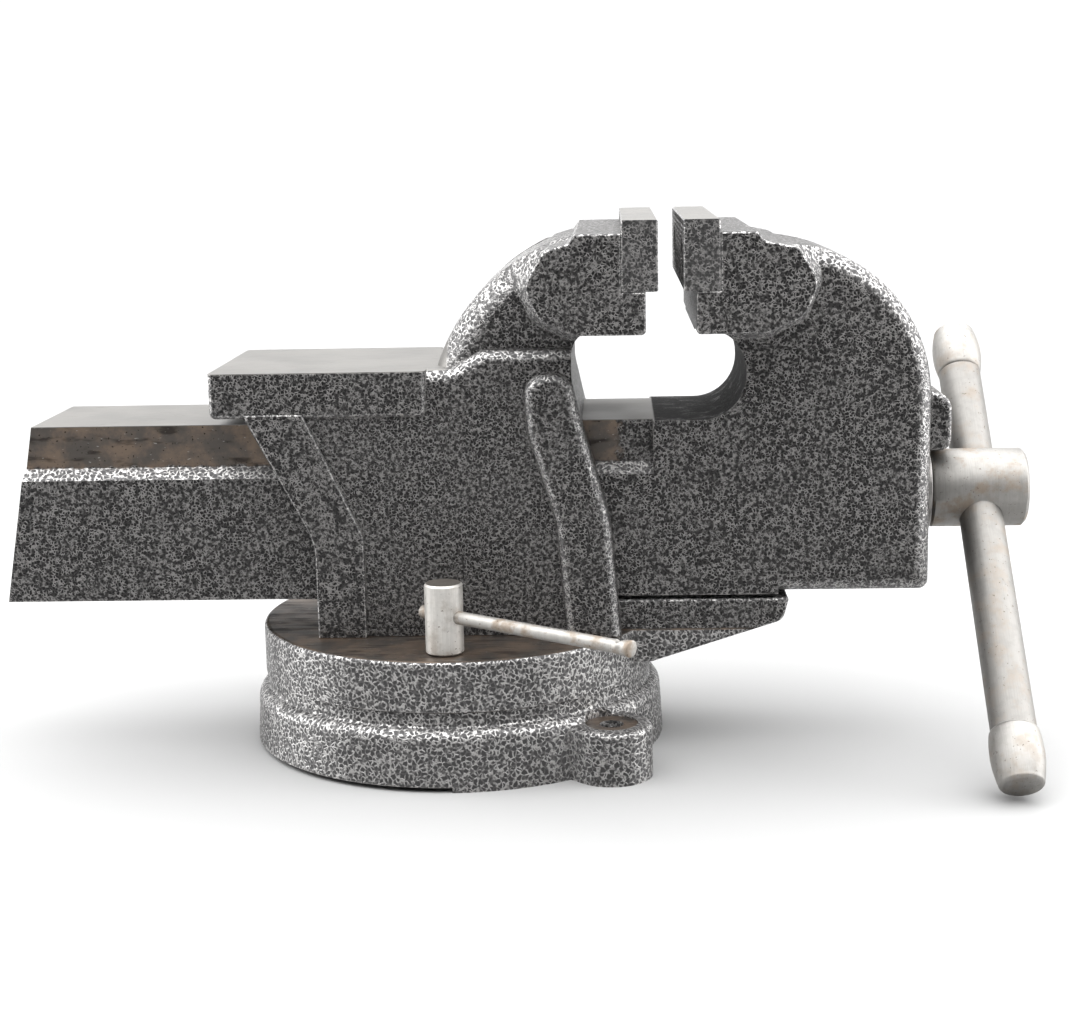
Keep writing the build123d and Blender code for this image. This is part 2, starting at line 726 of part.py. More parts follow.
def make_spindle_nut():
    foot = block((nut_x - nut_foot_length / 2, -nut_half_width, channel_floor),
                 (nut_x + nut_foot_length / 2, nut_half_width, channel_floor + nut_foot_height))
    tower = block((nut_x - nut_length / 2, -nut_half_width, channel_floor),
                  (nut_x + nut_length / 2, nut_half_width, screw_z))
    crown = rod_x(nut_rise, nut_x - nut_length / 2, nut_x + nut_length / 2)
    nut = fillet((foot + tower).edges().filter_by(Axis.Y).filter_by_position(
        Axis.Z, channel_floor + nut_foot_height - 0.1, channel_floor + nut_foot_height + 0.1), 3) + crown
    nut -= rod_x(screw_radius + bore_clearance, nut_x - nut_length, nut_x + nut_length)
    for x in nut_bolt_places():
        nut -= post(nut_bolt_radius, 0, screw_z, x, 0)
    return nut


def make_nut_bolts():
    seat = channel_floor + nut_foot_height
    bolts = []
    for x in nut_bolt_places():
        bolt = post(nut_bolt_radius, channel_floor - nut_bolt_depth, seat, x, 0)
        head = post(nut_bolt_head_radius, seat, seat + nut_bolt_head_height, x, 0)
        bolt += chamfer(head.edges().sort_by(Axis.Z)[-1], 0.8)
        key = Pos(x, 0, seat + nut_bolt_head_height / 2) * RegularPolygon(nut_bolt_radius * 0.8, 6,
                                                                          major_radius=False)
        bolts.append(bolt - extrude(key, amount=nut_bolt_head_height))
    return Compound(bolts)


# ---- handle -------------------------------------------------------------------------------------
def knob_seats():
    """Distances from the screw axis, along the handle, where the knobs' inner faces lie."""
    return handle_low - knob_length, knob_length - handle_high


def make_handle_bar():
    low, high = knob_seats()
    bar = handle_plane(high) * Cylinder(handle_radius, low - high, align=on_base)
    reach = knob_length - knob_wall
    spigot = handle_plane(high - reach) * Cylinder(
        knob_spigot_radius, low - high + 2 * reach, align=on_base)
    return bar + spigot


def make_knob(place, outward):
    """Barrel-shaped stop on one end of the handle; outward is +1 at the lower end."""
    profile = [(0, 0), (knob_neck_radius, 0, 0.8), (knob_radius, knob_length / 2, knob_swell),
               (knob_end_radius, knob_length, knob_end_round), (0, knob_length)]
    knob = revolve(Plane.XZ * rounded(profile), Axis.Z)
    knob -= Cylinder(knob_spigot_radius, knob_length - knob_wall, align=on_base)
    plane = handle_plane(place)
    return (plane if outward > 0 else plane * Rot(180, 0, 0)) * knob


# ---- swivel locks -------------------------------------------------------------------------------
def make_t_bolt(side):
    y = side * lock_circle_radius
    top = slot_top - face_gap
    head = block((-t_head_length / 2, y - t_head_width / 2, top - t_head_height),
                 (t_head_length / 2, y + t_head_width / 2, top))
    shank = post(t_bolt_radius, top, flange_top + t_bolt_reach, 0, y)
    return chamfer(head.edges(), 0.8) + chamfer(shank.edges().sort_by(Axis.Z)[-1], 1.0)


def lock_bar_plane(side, distance=0.0):
    """Plane square to the bar, at a distance from the nut's axis towards the long end."""
    x, y = polar(1.0, lock_bar_angle * -side)
    along = Vector(x, y, 0)
    centre = Vector(0, side * lock_circle_radius, flange_top + lock_bar_z)
    return Plane(origin=centre + along * distance, x_dir=(0, 0, 1), z_dir=along)


def make_lock_nut(side):
    y = side * lock_circle_radius
    low = flange_top + face_gap
    nut = post(lock_nut_radius, low, low + lock_nut_height, 0, y)
    nut = chamfer(nut.edges().filter_by(GeomType.CIRCLE), lock_nut_chamfer)
    nut -= post(t_bolt_radius + bore_clearance, 0, flange_top + t_bolt_reach + face_gap, 0, y)
    return nut - lock_bar_plane(side) * Cylinder(lock_bar_radius + bore_clearance, 4 * lock_nut_radius)


def make_lock_bar(side):
    base_align = (Align.CENTER, Align.CENTER, Align.MIN)
    bar = lock_bar_plane(side, -lock_bar_short) * Cylinder(
        lock_bar_radius, lock_bar_long + lock_bar_short, align=base_align)
    upset = lock_bar_radius + lock_bar_upset
    far_end = lock_bar_plane(side, lock_bar_long - lock_bar_upset_length) * Cylinder(
        upset, lock_bar_upset_length, align=base_align)
    near_end = lock_bar_plane(side, -lock_bar_short) * Cylinder(upset - 0.3, lock_bar_upset, align=base_align)
    return bar + chamfer(far_end.edges().filter_by(GeomType.CIRCLE), 0.8) + near_end


def write(name, solid):
    """Write one sub-part, as loose solids where it is a group."""
    solids = solid.solids()
    export_step(solids[0] if len(solids) == 1 else Compound(list(solids)), f"parts/{name}.step")


def main():
    os.makedirs("parts", exist_ok=True)
    fixed_back = plate_face_x - plate_thickness
    moving_back = moving_face_x + plate_thickness
    low, high = knob_seats()
    write("swivel_base", make_swivel_base())
    write("pivot_bolt", make_pivot_bolt())
    write("pivot_washer", make_pivot_washer())
    write("vise_body", make_vise_body())
    write("moving_jaw", make_moving_jaw())
    write("jaw_plate_fixed", make_jaw_plate(fixed_back, 1))
    write("jaw_plate_moving", make_jaw_plate(moving_back, -1))
    write("jaw_screws_fixed", make_plate_screws(fixed_back, 1))
    write("jaw_screws_moving", make_plate_screws(moving_back, -1))
    write("lead_screw", make_lead_screw())
    write("thrust_washer", make_thrust_washer())
    write("retaining_collar", make_retaining_collar())
    write("collar_pin", make_collar_pin())
    write("spindle_nut", make_spindle_nut())
    write("nut_bolts", make_nut_bolts())
    write("handle_bar", make_handle_bar())
    write("handle_knob_lower", make_knob(low, 1))
    write("handle_knob_upper", make_knob(high, -1))
    for label, side in (("near", -1), ("far", 1)):
        write(f"t_bolt_{label}", make_t_bolt(side))
        write(f"lock_nut_{label}", make_lock_nut(side))
        write(f"lock_bar_{label}", make_lock_bar(side))


main()
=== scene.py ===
"""Looks of a bench vise on a swivel base: its paint, bare metal, serrated jaws, screw and handle.

Every size is in metres, in the model's own frame: the swivel axis is Z, the slide and the screw run
along X, and the jaws lie across Y. The castings and the plain hardware keep the model's own shapes
and get a finish here. The pieces with fine shape are worked out as surfaces: the serrated jaw plates,
the threaded screw, the handle's end knobs and the lock bars.
"""
import json
import math

import bmesh
import bpy
import numpy as np
from bpy.props import FloatProperty, FloatVectorProperty, IntProperty, PointerProperty
from mathutils import Matrix, Vector


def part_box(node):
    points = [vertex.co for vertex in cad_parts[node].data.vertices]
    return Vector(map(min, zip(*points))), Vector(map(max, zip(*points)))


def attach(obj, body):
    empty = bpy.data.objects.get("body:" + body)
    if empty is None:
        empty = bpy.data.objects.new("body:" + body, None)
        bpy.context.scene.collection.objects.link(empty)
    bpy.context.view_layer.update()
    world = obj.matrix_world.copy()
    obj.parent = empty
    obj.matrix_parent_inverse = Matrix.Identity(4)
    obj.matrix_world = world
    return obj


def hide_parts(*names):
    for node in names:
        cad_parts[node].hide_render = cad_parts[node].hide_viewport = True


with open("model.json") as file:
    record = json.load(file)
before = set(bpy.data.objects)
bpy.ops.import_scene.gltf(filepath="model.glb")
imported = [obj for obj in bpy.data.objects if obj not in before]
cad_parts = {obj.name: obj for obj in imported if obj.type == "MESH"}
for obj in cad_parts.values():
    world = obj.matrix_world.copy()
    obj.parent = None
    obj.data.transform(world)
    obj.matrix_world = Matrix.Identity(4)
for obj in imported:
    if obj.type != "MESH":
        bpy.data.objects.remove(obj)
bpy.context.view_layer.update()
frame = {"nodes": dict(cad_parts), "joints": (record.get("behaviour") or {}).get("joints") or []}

bl_info = {
    "name": "Bench vise",
    "version": (1, 0, 0),
    "blender": (4, 5, 0),
    "location": "3D View > Sidebar > Vise",
    "description": "Finishes and fine pieces of a bench vise on a swivel base",
    "category": "Object",
}


# ---- sizes and colours that a user would change ---------------------------------------------------
def length(name, default, description):
    return FloatProperty(name=name, default=default, min=0.0, precision=5, unit="LENGTH",
                         description=description)


def place(name, default, description):
    return FloatProperty(name=name, default=default, precision=5, unit="LENGTH", description=description)


def colour(name, default, description):
    return FloatVectorProperty(name=name, default=default, size=3, min=0.0, max=1.0, subtype="COLOR",
                               description=description)


def share(name, default, description):
    return FloatProperty(name=name, default=default, min=0.0, max=1.0, subtype="FACTOR",
                         description=description)


class PaintSettings(bpy.types.PropertyGroup):
    ground: colour("Ground", (0.007, 0.0065, 0.0068), "Dark ground of the hammered paint")
    vein: colour("Vein", (0.225, 0.219, 0.215), "Silver veins of the hammered paint")
    # Light ground and light vein: a painted highlight on roundings, and the lighter paint low down on the
    # base.
    light_ground: colour("Light ground", (0.085, 0.083, 0.084), "Ground on roundings and on the base")
    light_vein: colour("Light vein", (0.62, 0.61, 0.60), "Veins on roundings and on the base")
    cell: length("Cell", 0.00145, "Distance between two veins on the flat sides")
    coarse: FloatProperty(name="Coarse", default=1.5, min=1.0,
                          description="How much larger the cells are where the paint lies thick")
    relief: length("Relief", 0.00022, "Height of the hammered skin")
    gloss: share("Roughness", 0.42, "Roughness of the dark ground")
    # Below these heights the cells grow coarser and the paint is drawn lighter towards the bottom.
    fine_dark_above: place("Thin above", 0.0600, "Height above which the paint is thin and dark")
    coarse_light_below: place("Thick below", 0.0565, "Height below which the paint is thick and light")
    low_light: share("Low light", 0.42, "How light the paint is below that height")


class CastingSettings(bpy.types.PropertyGroup):
    anvil_top: place("Anvil top", 0.1824, "Height of the ground anvil face")
    anvil_front: place("Anvil front", 0.002, "Where the ground anvil face ends")
    slide_top: place("Slide top", 0.1571, "Height of the machined top of the slide")
    guide_bottom: place("Guide bottom", 0.1375, "Lower edge of the machined flanks of the slide")
    guide_half_width: length("Guide half width", 0.0353, "Half the width between the machined flanks")
    guide_front: place("Guide front", 0.095, "Where the machined top ends")
    flank_front: place("Flank front", 0.078, "Where the paint begins on the machined flanks")
    flange_top: place("Flange top", 0.0586, "Height of the machined top of the flange")
    ear_top: place("Ear top", 0.0237, "Height of the seats for the bench bolts")
    # Where the painted shade in the throat of the moving jaw lies.
    shade_rear: place("Shade rear", 0.096, "Where the grime of the throat begins")
    shade_front: place("Shade front", 0.139, "Where the grime of the throat ends")
    shade_bottom: place("Shade bottom", 0.1565, "Lower end of the grime of the throat")
    shade_top: place("Shade top", 0.196, "Upper end of the grime of the throat")


class SteelSettings(bpy.types.PropertyGroup):
    satin: colour("Satin steel", (0.42, 0.408, 0.388),
                  "Plated steel of the handle, the screw head and the locks")
    stain: colour("Stain", (0.27, 0.215, 0.165), "Brownish stains on the bright steel")
    ground: colour("Ground iron", (0.19, 0.184, 0.175), "Freshly ground top faces")
    oily: colour("Oily iron", (0.085, 0.076, 0.069), "Machined iron under an oil film")
    hardware: colour("Hardware", (0.30, 0.29, 0.28), "Plain steel of bolts and washers")
    grain: length("Grain", 0.00035, "Distance between two grinding lines")


class PlateSettings(bpy.types.PropertyGroup):
    pitch: length("Pitch", 0.0032, "Distance between two serrations")
    depth: length("Depth", 0.0009, "Depth of the serrations")
    border: length("Border", 0.0016, "Plain border round the serrations")
    bevel: length("Bevel", 0.0006, "Bevel of the plate's edges")
    mesh_step: length("Mesh step", 0.00055, "Distance between two points of the working face")
    screw_spacing: length("Screw spacing", 0.090, "Distance between the two screws of a plate")
    pocket_radius: length("Pocket radius", 0.00765, "Radius of the pocket that a screw's head sits in")
    pocket_depth: length("Pocket depth", 0.0076, "Depth of that pocket")


class ScrewSettings(bpy.types.PropertyGroup):
    pitch: length("Pitch", 0.005, "Travel of the jaw for one turn of the screw")
    depth: length("Thread depth", 0.0022, "Depth of the trapezoidal thread")
    steps: IntProperty(name="Steps", default=40, min=12, description="Points round one turn of the thread")
    journal: length("Journal", 0.046, "Plain length between the thread and the head")
    chamfer: length("Chamfer", 0.002, "Chamfer at the free end")


class HandleSettings(bpy.types.PropertyGroup):
    neck: length("Neck radius", 0.0108, "Radius of a knob where it meets the bar")
    belly: length("Belly radius", 0.0118, "Largest radius of a knob")
    tip: length("Tip radius", 0.0100, "Radius of a knob at its outer end")
    edge: length("Edge radius", 0.00175, "Rounding at the outer end of a knob")


class LockSettings(bpy.types.PropertyGroup):
    bar_radius: length("Bar radius", 0.003, "Radius of a lock bar")
    upset: length("Upset", 0.0009, "How far the peened end stands over the bar")
    upset_length: length("Upset length", 0.011, "Length over which the bar swells to its peened end")
    notch_place: length("Notch place", 0.0062, "Distance of the punched notch from the peened end")
    notch_length: length("Notch length", 0.0042, "Length of the punched notch")
    notch_depth: length("Notch depth", 0.0021, "Depth of the punched notch")


class StudioSettings(bpy.types.PropertyGroup):
    floor: colour("Floor", (0.32, 0.32, 0.32), "Grey floor, which the light turns white")
    floor_reach: length("Floor reach", 9.0, "Radius of the floor")
    top_light: FloatProperty(name="Top light", default=9.0, min=0.0,
                             description="Strength of the broad light above")
    top_spread: FloatProperty(name="Top spread", default=math.radians(110), min=0.0, subtype="ANGLE",
                              description="How wide the light above is")
    side_light: FloatProperty(name="Side light", default=15.0, min=0.0, unit="POWER",
                              description="Power of each of the two lights beside the vise")
    side_place: FloatVectorProperty(name="Side place", default=(1.25, 0.12, 0.32), size=3, unit="LENGTH",
                                    description="Where the right one stands; the left one mirrors it")
    side_aim: length("Side aim", 0.12, "Height over the swivel axis that both look at")
    side_size: FloatVectorProperty(name="Side size", default=(0.7, 1.2), size=2, unit="LENGTH",
                                   description="Width and height of each")
    room_dark: FloatProperty(name="Dark room", default=0.03, min=0.0,
                             description="Light from the camera's side of the room")
    room_bright: FloatProperty(name="Bright room", default=1.1, min=0.0,
                               description="Light from the far side of the room")
    dark_until: FloatProperty(name="Dark until", default=-0.5,
                              description="Y of the direction in which the room starts to brighten")
    bright_from: FloatProperty(name="Bright from", default=0.2,
                               description="Y of the direction in which the room is fully bright")
    camera_place: FloatVectorProperty(name="Camera", default=(0.07626, -0.89994, 0.28442), size=3,
                                      precision=5,
                                      subtype="TRANSLATION", unit="LENGTH",
                                      description="Where the camera stands")
    turn: FloatProperty(name="Turn", default=math.radians(2.256), subtype="ANGLE",
                        description="How far the camera turns left of +Y")
    tilt: FloatProperty(name="Tilt", default=math.radians(11.072), subtype="ANGLE",
                        description="How far the camera looks down")
    roll: FloatProperty(name="Roll", default=math.radians(-1.138), subtype="ANGLE",
                        description="How far the camera leans about its own axis")
    lens: FloatProperty(name="Lens", default=63.333, min=1.0, unit="CAMERA", description="Focal length")


# ---- meshes -------------------------------------------------------------------------------------------
def new_piece(name, points, faces, body, finish, sharp_angle=math.radians(35)):
    """A piece made of points and faces, which rides on a body and takes its finish from a slot."""
    mesh = bpy.data.meshes.new(name)
    mesh.from_pydata(np.asarray(points, float).tolist(), [], faces)
    piece = bpy.data.objects.new(name, mesh)
    bpy.context.scene.collection.objects.link(piece)
    close_up(mesh)
    mesh.shade_smooth()
    mesh.set_sharp_from_angle(angle=sharp_angle)
    mesh.materials.append(finish)
    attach(piece, body)
    return piece


def close_up(mesh, gap=1e-6):
    """Merge points that coincide, drop faces without area and turn all faces outwards."""
    work = bmesh.new()
    work.from_mesh(mesh)
    bmesh.ops.remove_doubles(work, verts=work.verts, dist=gap)
    bmesh.ops.dissolve_degenerate(work, edges=work.edges, dist=gap)
    bmesh.ops.recalc_face_normals(work, faces=work.faces)
    work.to_mesh(mesh)
    work.free()


def grid_faces(rows, columns, wrap=False, offset=0):
    """Quads between neighbouring rows and columns of a grid; wrap joins the last column to the first."""
    row, column = np.meshgrid(np.arange(rows - 1), np.arange(columns if wrap else columns - 1), indexing="ij")
    after = (column + 1) % columns
    quads = np.stack([row * columns + column, row * columns + after, (row + 1) * columns + after,
                      (row + 1) * columns + column], axis=-1)
    return quads.reshape(-1, 4) + offset


def axes_about(direction):
    """The direction and two unit vectors square to it and to each other, the last as upright as can be."""
    along = Vector(direction).normalized()
    aside = Vector((0, 1, 0)) if abs(along.z) > 0.999 else Vector((0, 0, 1))
    side = along.cross(aside).normalized()
    return np.array(along), np.array(side), np.array(side.cross(along))


def node_points(node):
    """All points of a node of the model, as rows of x, y and z."""
    mesh = frame["nodes"][node].data
    flat = np.empty(len(mesh.vertices) * 3)
    mesh.vertices.foreach_get("co", flat)
    return flat.reshape(-1, 3)


def centre_of(node):
    low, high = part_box(node)
    return (low + high) / 2


def joint_axis(name):
    return next(joint["axis"] for joint in frame["joints"] if joint["name"] == name)


def turned(profile, origin, direction, steps=64):
    """Points and faces of a profile turned about an axis.

    Point (i, j) is origin + s_i * along + r_i * (cos a_j * side + sin a_j * up), where (s_i, r_i) is the
    profile and a_j goes once round. A radius of 0 at an end closes the shape there.
    """
    along, side, up = axes_about(direction)
    profile = np.asarray(profile, float)
    angle = np.linspace(0, 2 * math.pi, steps, endpoint=False)
    ring = np.cos(angle)[:, None] * side + np.sin(angle)[:, None] * up
    points = np.asarray(origin) + profile[:, 0, None, None] * along + profile[:, 1, None, None] * ring
    return points.reshape(-1, 3), grid_faces(len(profile), steps, wrap=True)


# ---- finishes -----------------------------------------------------------------------------------------
class Finish:
    """A material in the making. Each method adds a node and returns the socket with its result."""

    def __init__(self, name):
        self.material = bpy.data.materials.new(name)
        self.material.use_nodes = True
        self.tree = self.material.node_tree
        self.shader = self.tree.nodes["Principled BSDF"]
        self.point = self.add("ShaderNodeTexCoord", {}).outputs["Object"]
        parts = self.add("ShaderNodeSeparateXYZ", {"Vector": self.point}).outputs
        self.x, self.y, self.z = parts[0], parts[1], parts[2]

    def add(self, kind, inputs, **settings):
        node = self.tree.nodes.new(kind)
        for name, value in settings.items():
            setattr(node, name, value)
        for name, value in inputs.items():
            self.put(node.inputs[name], value)
        return node

    def put(self, socket, value):
        if isinstance(value, bpy.types.NodeSocket):
            self.tree.links.new(value, socket)
        elif hasattr(socket.default_value, "__len__") and len(socket.default_value) == 4 and len(value) == 3:
            socket.default_value = (*value, 1.0)
        else:
            socket.default_value = value

    def math(self, operation, *values):
        return self.add("ShaderNodeMath", dict(enumerate(values)), operation=operation).outputs[0]

    def between(self, value, low, high, soft):
        """1 where the value lies between low and high, with edges of width soft."""
        rise = self.remap(value, low - soft, low, 0.0, 1.0)
        fall = self.remap(value, high, high + soft, 1.0, 0.0)
        return self.math("MULTIPLY", rise, fall)

    def remap(self, value, from_low, from_high, to_low, to_high):
        return self.add("ShaderNodeMapRange", {"Value": value, "From Min": from_low, "From Max": from_high,
                                               "To Min": to_low, "To Max": to_high},
                        interpolation_type="SMOOTHSTEP").outputs["Result"]

    def scaled(self, x, y, z):
        """The point, stretched along each axis."""
        return self.add("ShaderNodeMapping", {"Vector": self.point, "Scale": (x, y, z)}).outputs[0]

    def noise(self, size, detail=2.0, roughness=0.5, vector=None, distortion=0.0):
        """Clouds whose features are about that size."""
        return self.add("ShaderNodeTexNoise",
                        {"Vector": vector or self.point, "Scale": 1 / size, "Detail": detail,
                                               "Roughness": roughness, "Distortion": distortion}).outputs[0]

    def mix(self, factor, first, second):
        node = self.add("ShaderNodeMix", {"Factor": factor}, data_type="RGBA")
        self.put(node.inputs[6], first)
        self.put(node.inputs[7], second)
        return node.outputs[2]

    def blend(self, factor, first, second):
        """A number that goes from first to second."""
        node = self.add("ShaderNodeMix", {0: factor, 2: first, 3: second})
        return node.outputs[0]

    def bump(self, height, distance, strength=1.0, normal=None):
        inputs = {"Height": height, "Distance": distance, "Strength": strength}
        if normal is not None:
            inputs["Normal"] = normal
        return self.add("ShaderNodeBump", inputs).outputs[0]

    def edges(self, radius):
        """1 along the outer edges of a piece, 0 on its open faces."""
        soft = self.add("ShaderNodeBevel", {"Radius": radius}, samples=6).outputs[0]
        true = self.add("ShaderNodeNewGeometry", {}).outputs["Normal"]
        cosine = self.add("ShaderNodeVectorMath", {0: soft, 1: true},
                          operation="DOT_PRODUCT").outputs["Value"]
        return self.remap(cosine, 0.985, 0.90, 0.0, 1.0)

    def finish(self, base, roughness, metallic, normal=None, **constants):
        self.put(self.shader.inputs["Base Color"], base)
        self.put(self.shader.inputs["Roughness"], roughness)
        self.put(self.shader.inputs["Metallic"], metallic)
        if normal is not None:
            self.put(self.shader.inputs["Normal"], normal)
        for name, value in constants.items():
            self.shader.inputs[name.replace("_", " ")].default_value = value
        return self.material


def upward(surface):
    """Upward share of the surface's normal."""
    normal = surface.add("ShaderNodeNewGeometry", {}).outputs["Normal"]
    return surface.add("ShaderNodeSeparateXYZ", {"Vector": normal}).outputs[2]


def turning(surface):
    """1 on roundings and slanted faces, 0 on faces square to an axis."""
    normal = surface.add("ShaderNodeNewGeometry", {}).outputs["Normal"]
    parts = surface.add("ShaderNodeSeparateXYZ", {"Vector": normal}).outputs
    sizes = [surface.math("ABSOLUTE", part) for part in parts]
    largest = surface.math("MAXIMUM", surface.math("MAXIMUM", sizes[0], sizes[1]), sizes[2])
    return surface.remap(largest, 0.998, 0.79, 0.0, 1.0)


def facing_up(surface):
    """1 where the surface faces up."""
    return surface.remap(upward(surface), 0.90, 0.98, 0.0, 1.0)


def all_of(surface, *masks):
    result = masks[0]
    for mask in masks[1:]:
        result = surface.math("MULTIPLY", result, mask)
    return result


def web(surface, point, cell):
    """1 on the borders between cells of about that size, 0 inside them."""
    border = surface.add("ShaderNodeTexVoronoi", {"Vector": point, "Scale": 1 / cell},
                         feature="DISTANCE_TO_EDGE").outputs["Distance"]
    return surface.remap(border, 0.20, 0.04, 0.0, 1.0)


def hammered(surface, paint):
    """Colour, roughness, metallic share and height of the silver-vein paint.

    The veins are the borders between small cells. A noise pushes them about and another breaks them up. The
    cells grow larger in patches and where the surface faces up, because the paint lies thicker there. On
    roundings and slanted faces the ground and the veins are drawn lighter, as a painted highlight. The paint
    is also drawn lighter low down, on the base and the flange.
    """
    push = surface.add("ShaderNodeTexNoise",
                       {"Vector": surface.point, "Scale": 0.8 / paint.cell, "Detail": 1.0})
    shift = surface.add("ShaderNodeVectorMath", {0: push.outputs["Color"], "Scale": paint.cell * 1.1},
                        operation="SCALE").outputs[0]
    point = surface.add("ShaderNodeVectorMath", {0: surface.point, 1: shift}, operation="ADD").outputs[0]
    thick = surface.math("ADD", surface.remap(surface.noise(0.02, detail=2.0), 0.42, 0.62, 0.0, 0.45),
                         surface.remap(upward(surface), 0.15, 0.6, 0.0, 1.0))
    thick = surface.math("ADD", thick,
                         surface.remap(surface.z, paint.fine_dark_above, paint.coarse_light_below, 0.0, 1.0))
    veins = surface.blend(surface.math("MINIMUM", thick, 1.0), web(surface, point, paint.cell),
                          web(surface, point, paint.cell * paint.coarse))
    breaks = surface.remap(surface.noise(paint.cell * 1.3, detail=1.0), 0.36, 0.62, 0.12, 1.1)
    strength = surface.math("MULTIPLY", veins, breaks)
    # Painted highlight: roundings and slanted faces get a lighter ground and brighter veins.
    rounded = surface.math("MULTIPLY", turning(surface), 0.85)
    # The paint is drawn lighter low down, on the base and the flange.
    low = surface.remap(surface.z, paint.fine_dark_above, paint.coarse_light_below, 0.0, paint.low_light)
    light = surface.math("MAXIMUM", rounded, low)
    ground = surface.mix(light, tuple(paint.ground), tuple(paint.light_ground))
    silver = surface.mix(light, tuple(paint.vein), tuple(paint.light_vein))
    base = surface.mix(strength, ground, silver)
    roughness = surface.blend(strength, paint.gloss, 0.40)
    metallic = surface.blend(strength, 0.0, 0.9)
    return base, roughness, metallic, strength


def ground_iron(surface, steel, along_x=True):
    """Colour and roughness of a freshly ground face: fine lines one way, faint clouds and a few stains."""
    lines = surface.scaled(0.02, 1.0, 1.0) if along_x else surface.scaled(1.0, 0.02, 1.0)
    grain = surface.noise(steel.grain, detail=3.0, vector=lines)
    cloud = surface.noise(0.03, detail=3.0)
    shade = surface.math("ADD", surface.remap(grain, 0.3, 0.7, 0.72, 1.0),
                         surface.remap(cloud, 0.35, 0.65, -0.15, 0.05))
    dark = tuple(0.6 * part for part in steel.ground)
    base = surface.mix(shade, dark, tuple(steel.ground))
    scratches = surface.noise(0.0009, detail=2.0, vector=surface.scaled(0.06, 0.5, 1.0))
    base = surface.mix(surface.remap(scratches, 0.66, 0.74, 0.0, 0.5), base, (0.06, 0.055, 0.05))
    spots = surface.noise(0.005, detail=4.0, roughness=0.7)
    base = surface.mix(surface.remap(spots, 0.62, 0.74, 0.0, 0.45), base, (0.10, 0.085, 0.07))
    return base, surface.remap(cloud, 0.3, 0.7, 0.42, 0.52)


def oily_iron(surface, steel):
    """Colour and roughness of machined iron under old oil: brown clouds, dark streaks, pits and nicks."""
    cloud = surface.noise(0.016, detail=5.0, roughness=0.65)
    streak = surface.noise(0.0035, detail=3.0, vector=surface.scaled(0.2, 1.0, 0.8))
    pits = surface.noise(0.0014, detail=2.0)
    nicks = surface.noise(0.0011, detail=1.0, vector=surface.scaled(0.45, 1.0, 1.0))
    brown = (steel.oily[0] * 1.9, steel.oily[1] * 1.62, steel.oily[2] * 1.38)
    base = surface.mix(surface.remap(cloud, 0.38, 0.64, 0.0, 1.0), tuple(steel.oily), brown)
    base = surface.mix(surface.remap(streak, 0.54, 0.68, 0.0, 0.75), base, (0.022, 0.018, 0.016))
    base = surface.mix(surface.remap(pits, 0.66, 0.72, 0.0, 0.9), base, (0.012, 0.011, 0.010))
    base = surface.mix(surface.remap(nicks, 0.70, 0.76, 0.0, 0.6), base, (0.34, 0.33, 0.31))
    return base, surface.remap(streak, 0.4, 0.7, 0.38, 0.55)


def casting_finish(name, bare_faces, oily_faces, shaded_faces):
    """Painted casting. The three functions give masks of ground faces, oily machined faces and painted shade.
    """
    settings = bpy.context.scene.vise
    surface = Finish(name)
    base, roughness, metallic, height = hammered(surface, settings.paint)
    # Lighter edges: partly paint worn off, partly a painted highlight along edges that the mesh leaves sharp.
    wear_and_edge_highlight = all_of(surface, surface.edges(0.0012),
                  surface.remap(surface.noise(0.006, detail=3.0), 0.42, 0.62, 0.0, 0.6))
    base = surface.mix(wear_and_edge_highlight, base, (0.30, 0.29, 0.28))
    # Painted shade: where this mask is set, the paint is drawn near black, rough and not metallic.
    painted_shade = shaded_faces(surface)
    base = surface.mix(painted_shade, base, (0.008, 0.007, 0.007))
    roughness = surface.blend(painted_shade, roughness, 0.85)
    metallic = surface.blend(painted_shade, metallic, 0.0)
    oily = oily_faces(surface)
    oil_base, oil_roughness = oily_iron(surface, settings.steel)
    base = surface.mix(oily, base, oil_base)
    roughness = surface.blend(oily, roughness, oil_roughness)
    metallic = surface.blend(oily, metallic, 0.75)
    bare = bare_faces(surface)
    iron_base, iron_roughness = ground_iron(surface, settings.steel)
    base = surface.mix(bare, base, iron_base)
    roughness = surface.blend(bare, roughness, iron_roughness)
    metallic = surface.blend(bare, metallic, 1.0)
    machined = surface.math("MAXIMUM", bare, oily)
    skin = surface.math("MULTIPLY", height, surface.math("SUBTRACT", 1.0, machined))
    lumps = surface.noise(0.004, detail=2.0)
    skin = surface.math("ADD", skin, surface.math("MULTIPLY", lumps, surface.blend(machined, 1.1, 0.02)))
    normal = surface.bump(skin, settings.paint.relief, 0.8)
    return surface.finish(base, roughness, metallic, normal, Coat_Weight=0.04, Coat_Roughness=0.3,
                          Specular_IOR_Level=0.14)


def body_bare(surface):
    """The ground top of the anvil."""
    sizes = bpy.context.scene.vise.casting
    return all_of(surface,
                  surface.remap(surface.z, sizes.anvil_top - 0.0006, sizes.anvil_top - 0.0002, 0.0, 1.0),
                  surface.remap(surface.x, sizes.anvil_front, sizes.anvil_front - 0.002, 0.0, 1.0))


def body_oily(surface):
    """The machined top of the swivel flange."""
    sizes = bpy.context.scene.vise.casting
    return surface.between(surface.z, sizes.flange_top - 0.0003, sizes.flange_top + 0.0003, 0.0003)


def jaw_bare(surface):
    """The machined top of the slide."""
    sizes = bpy.context.scene.vise.casting
    return all_of(surface,
                  surface.remap(surface.z, sizes.slide_top - 0.0005, sizes.slide_top - 0.0001, 0.0, 1.0),
                  surface.remap(surface.x, sizes.guide_front + 0.001, sizes.guide_front, 0.0, 1.0))


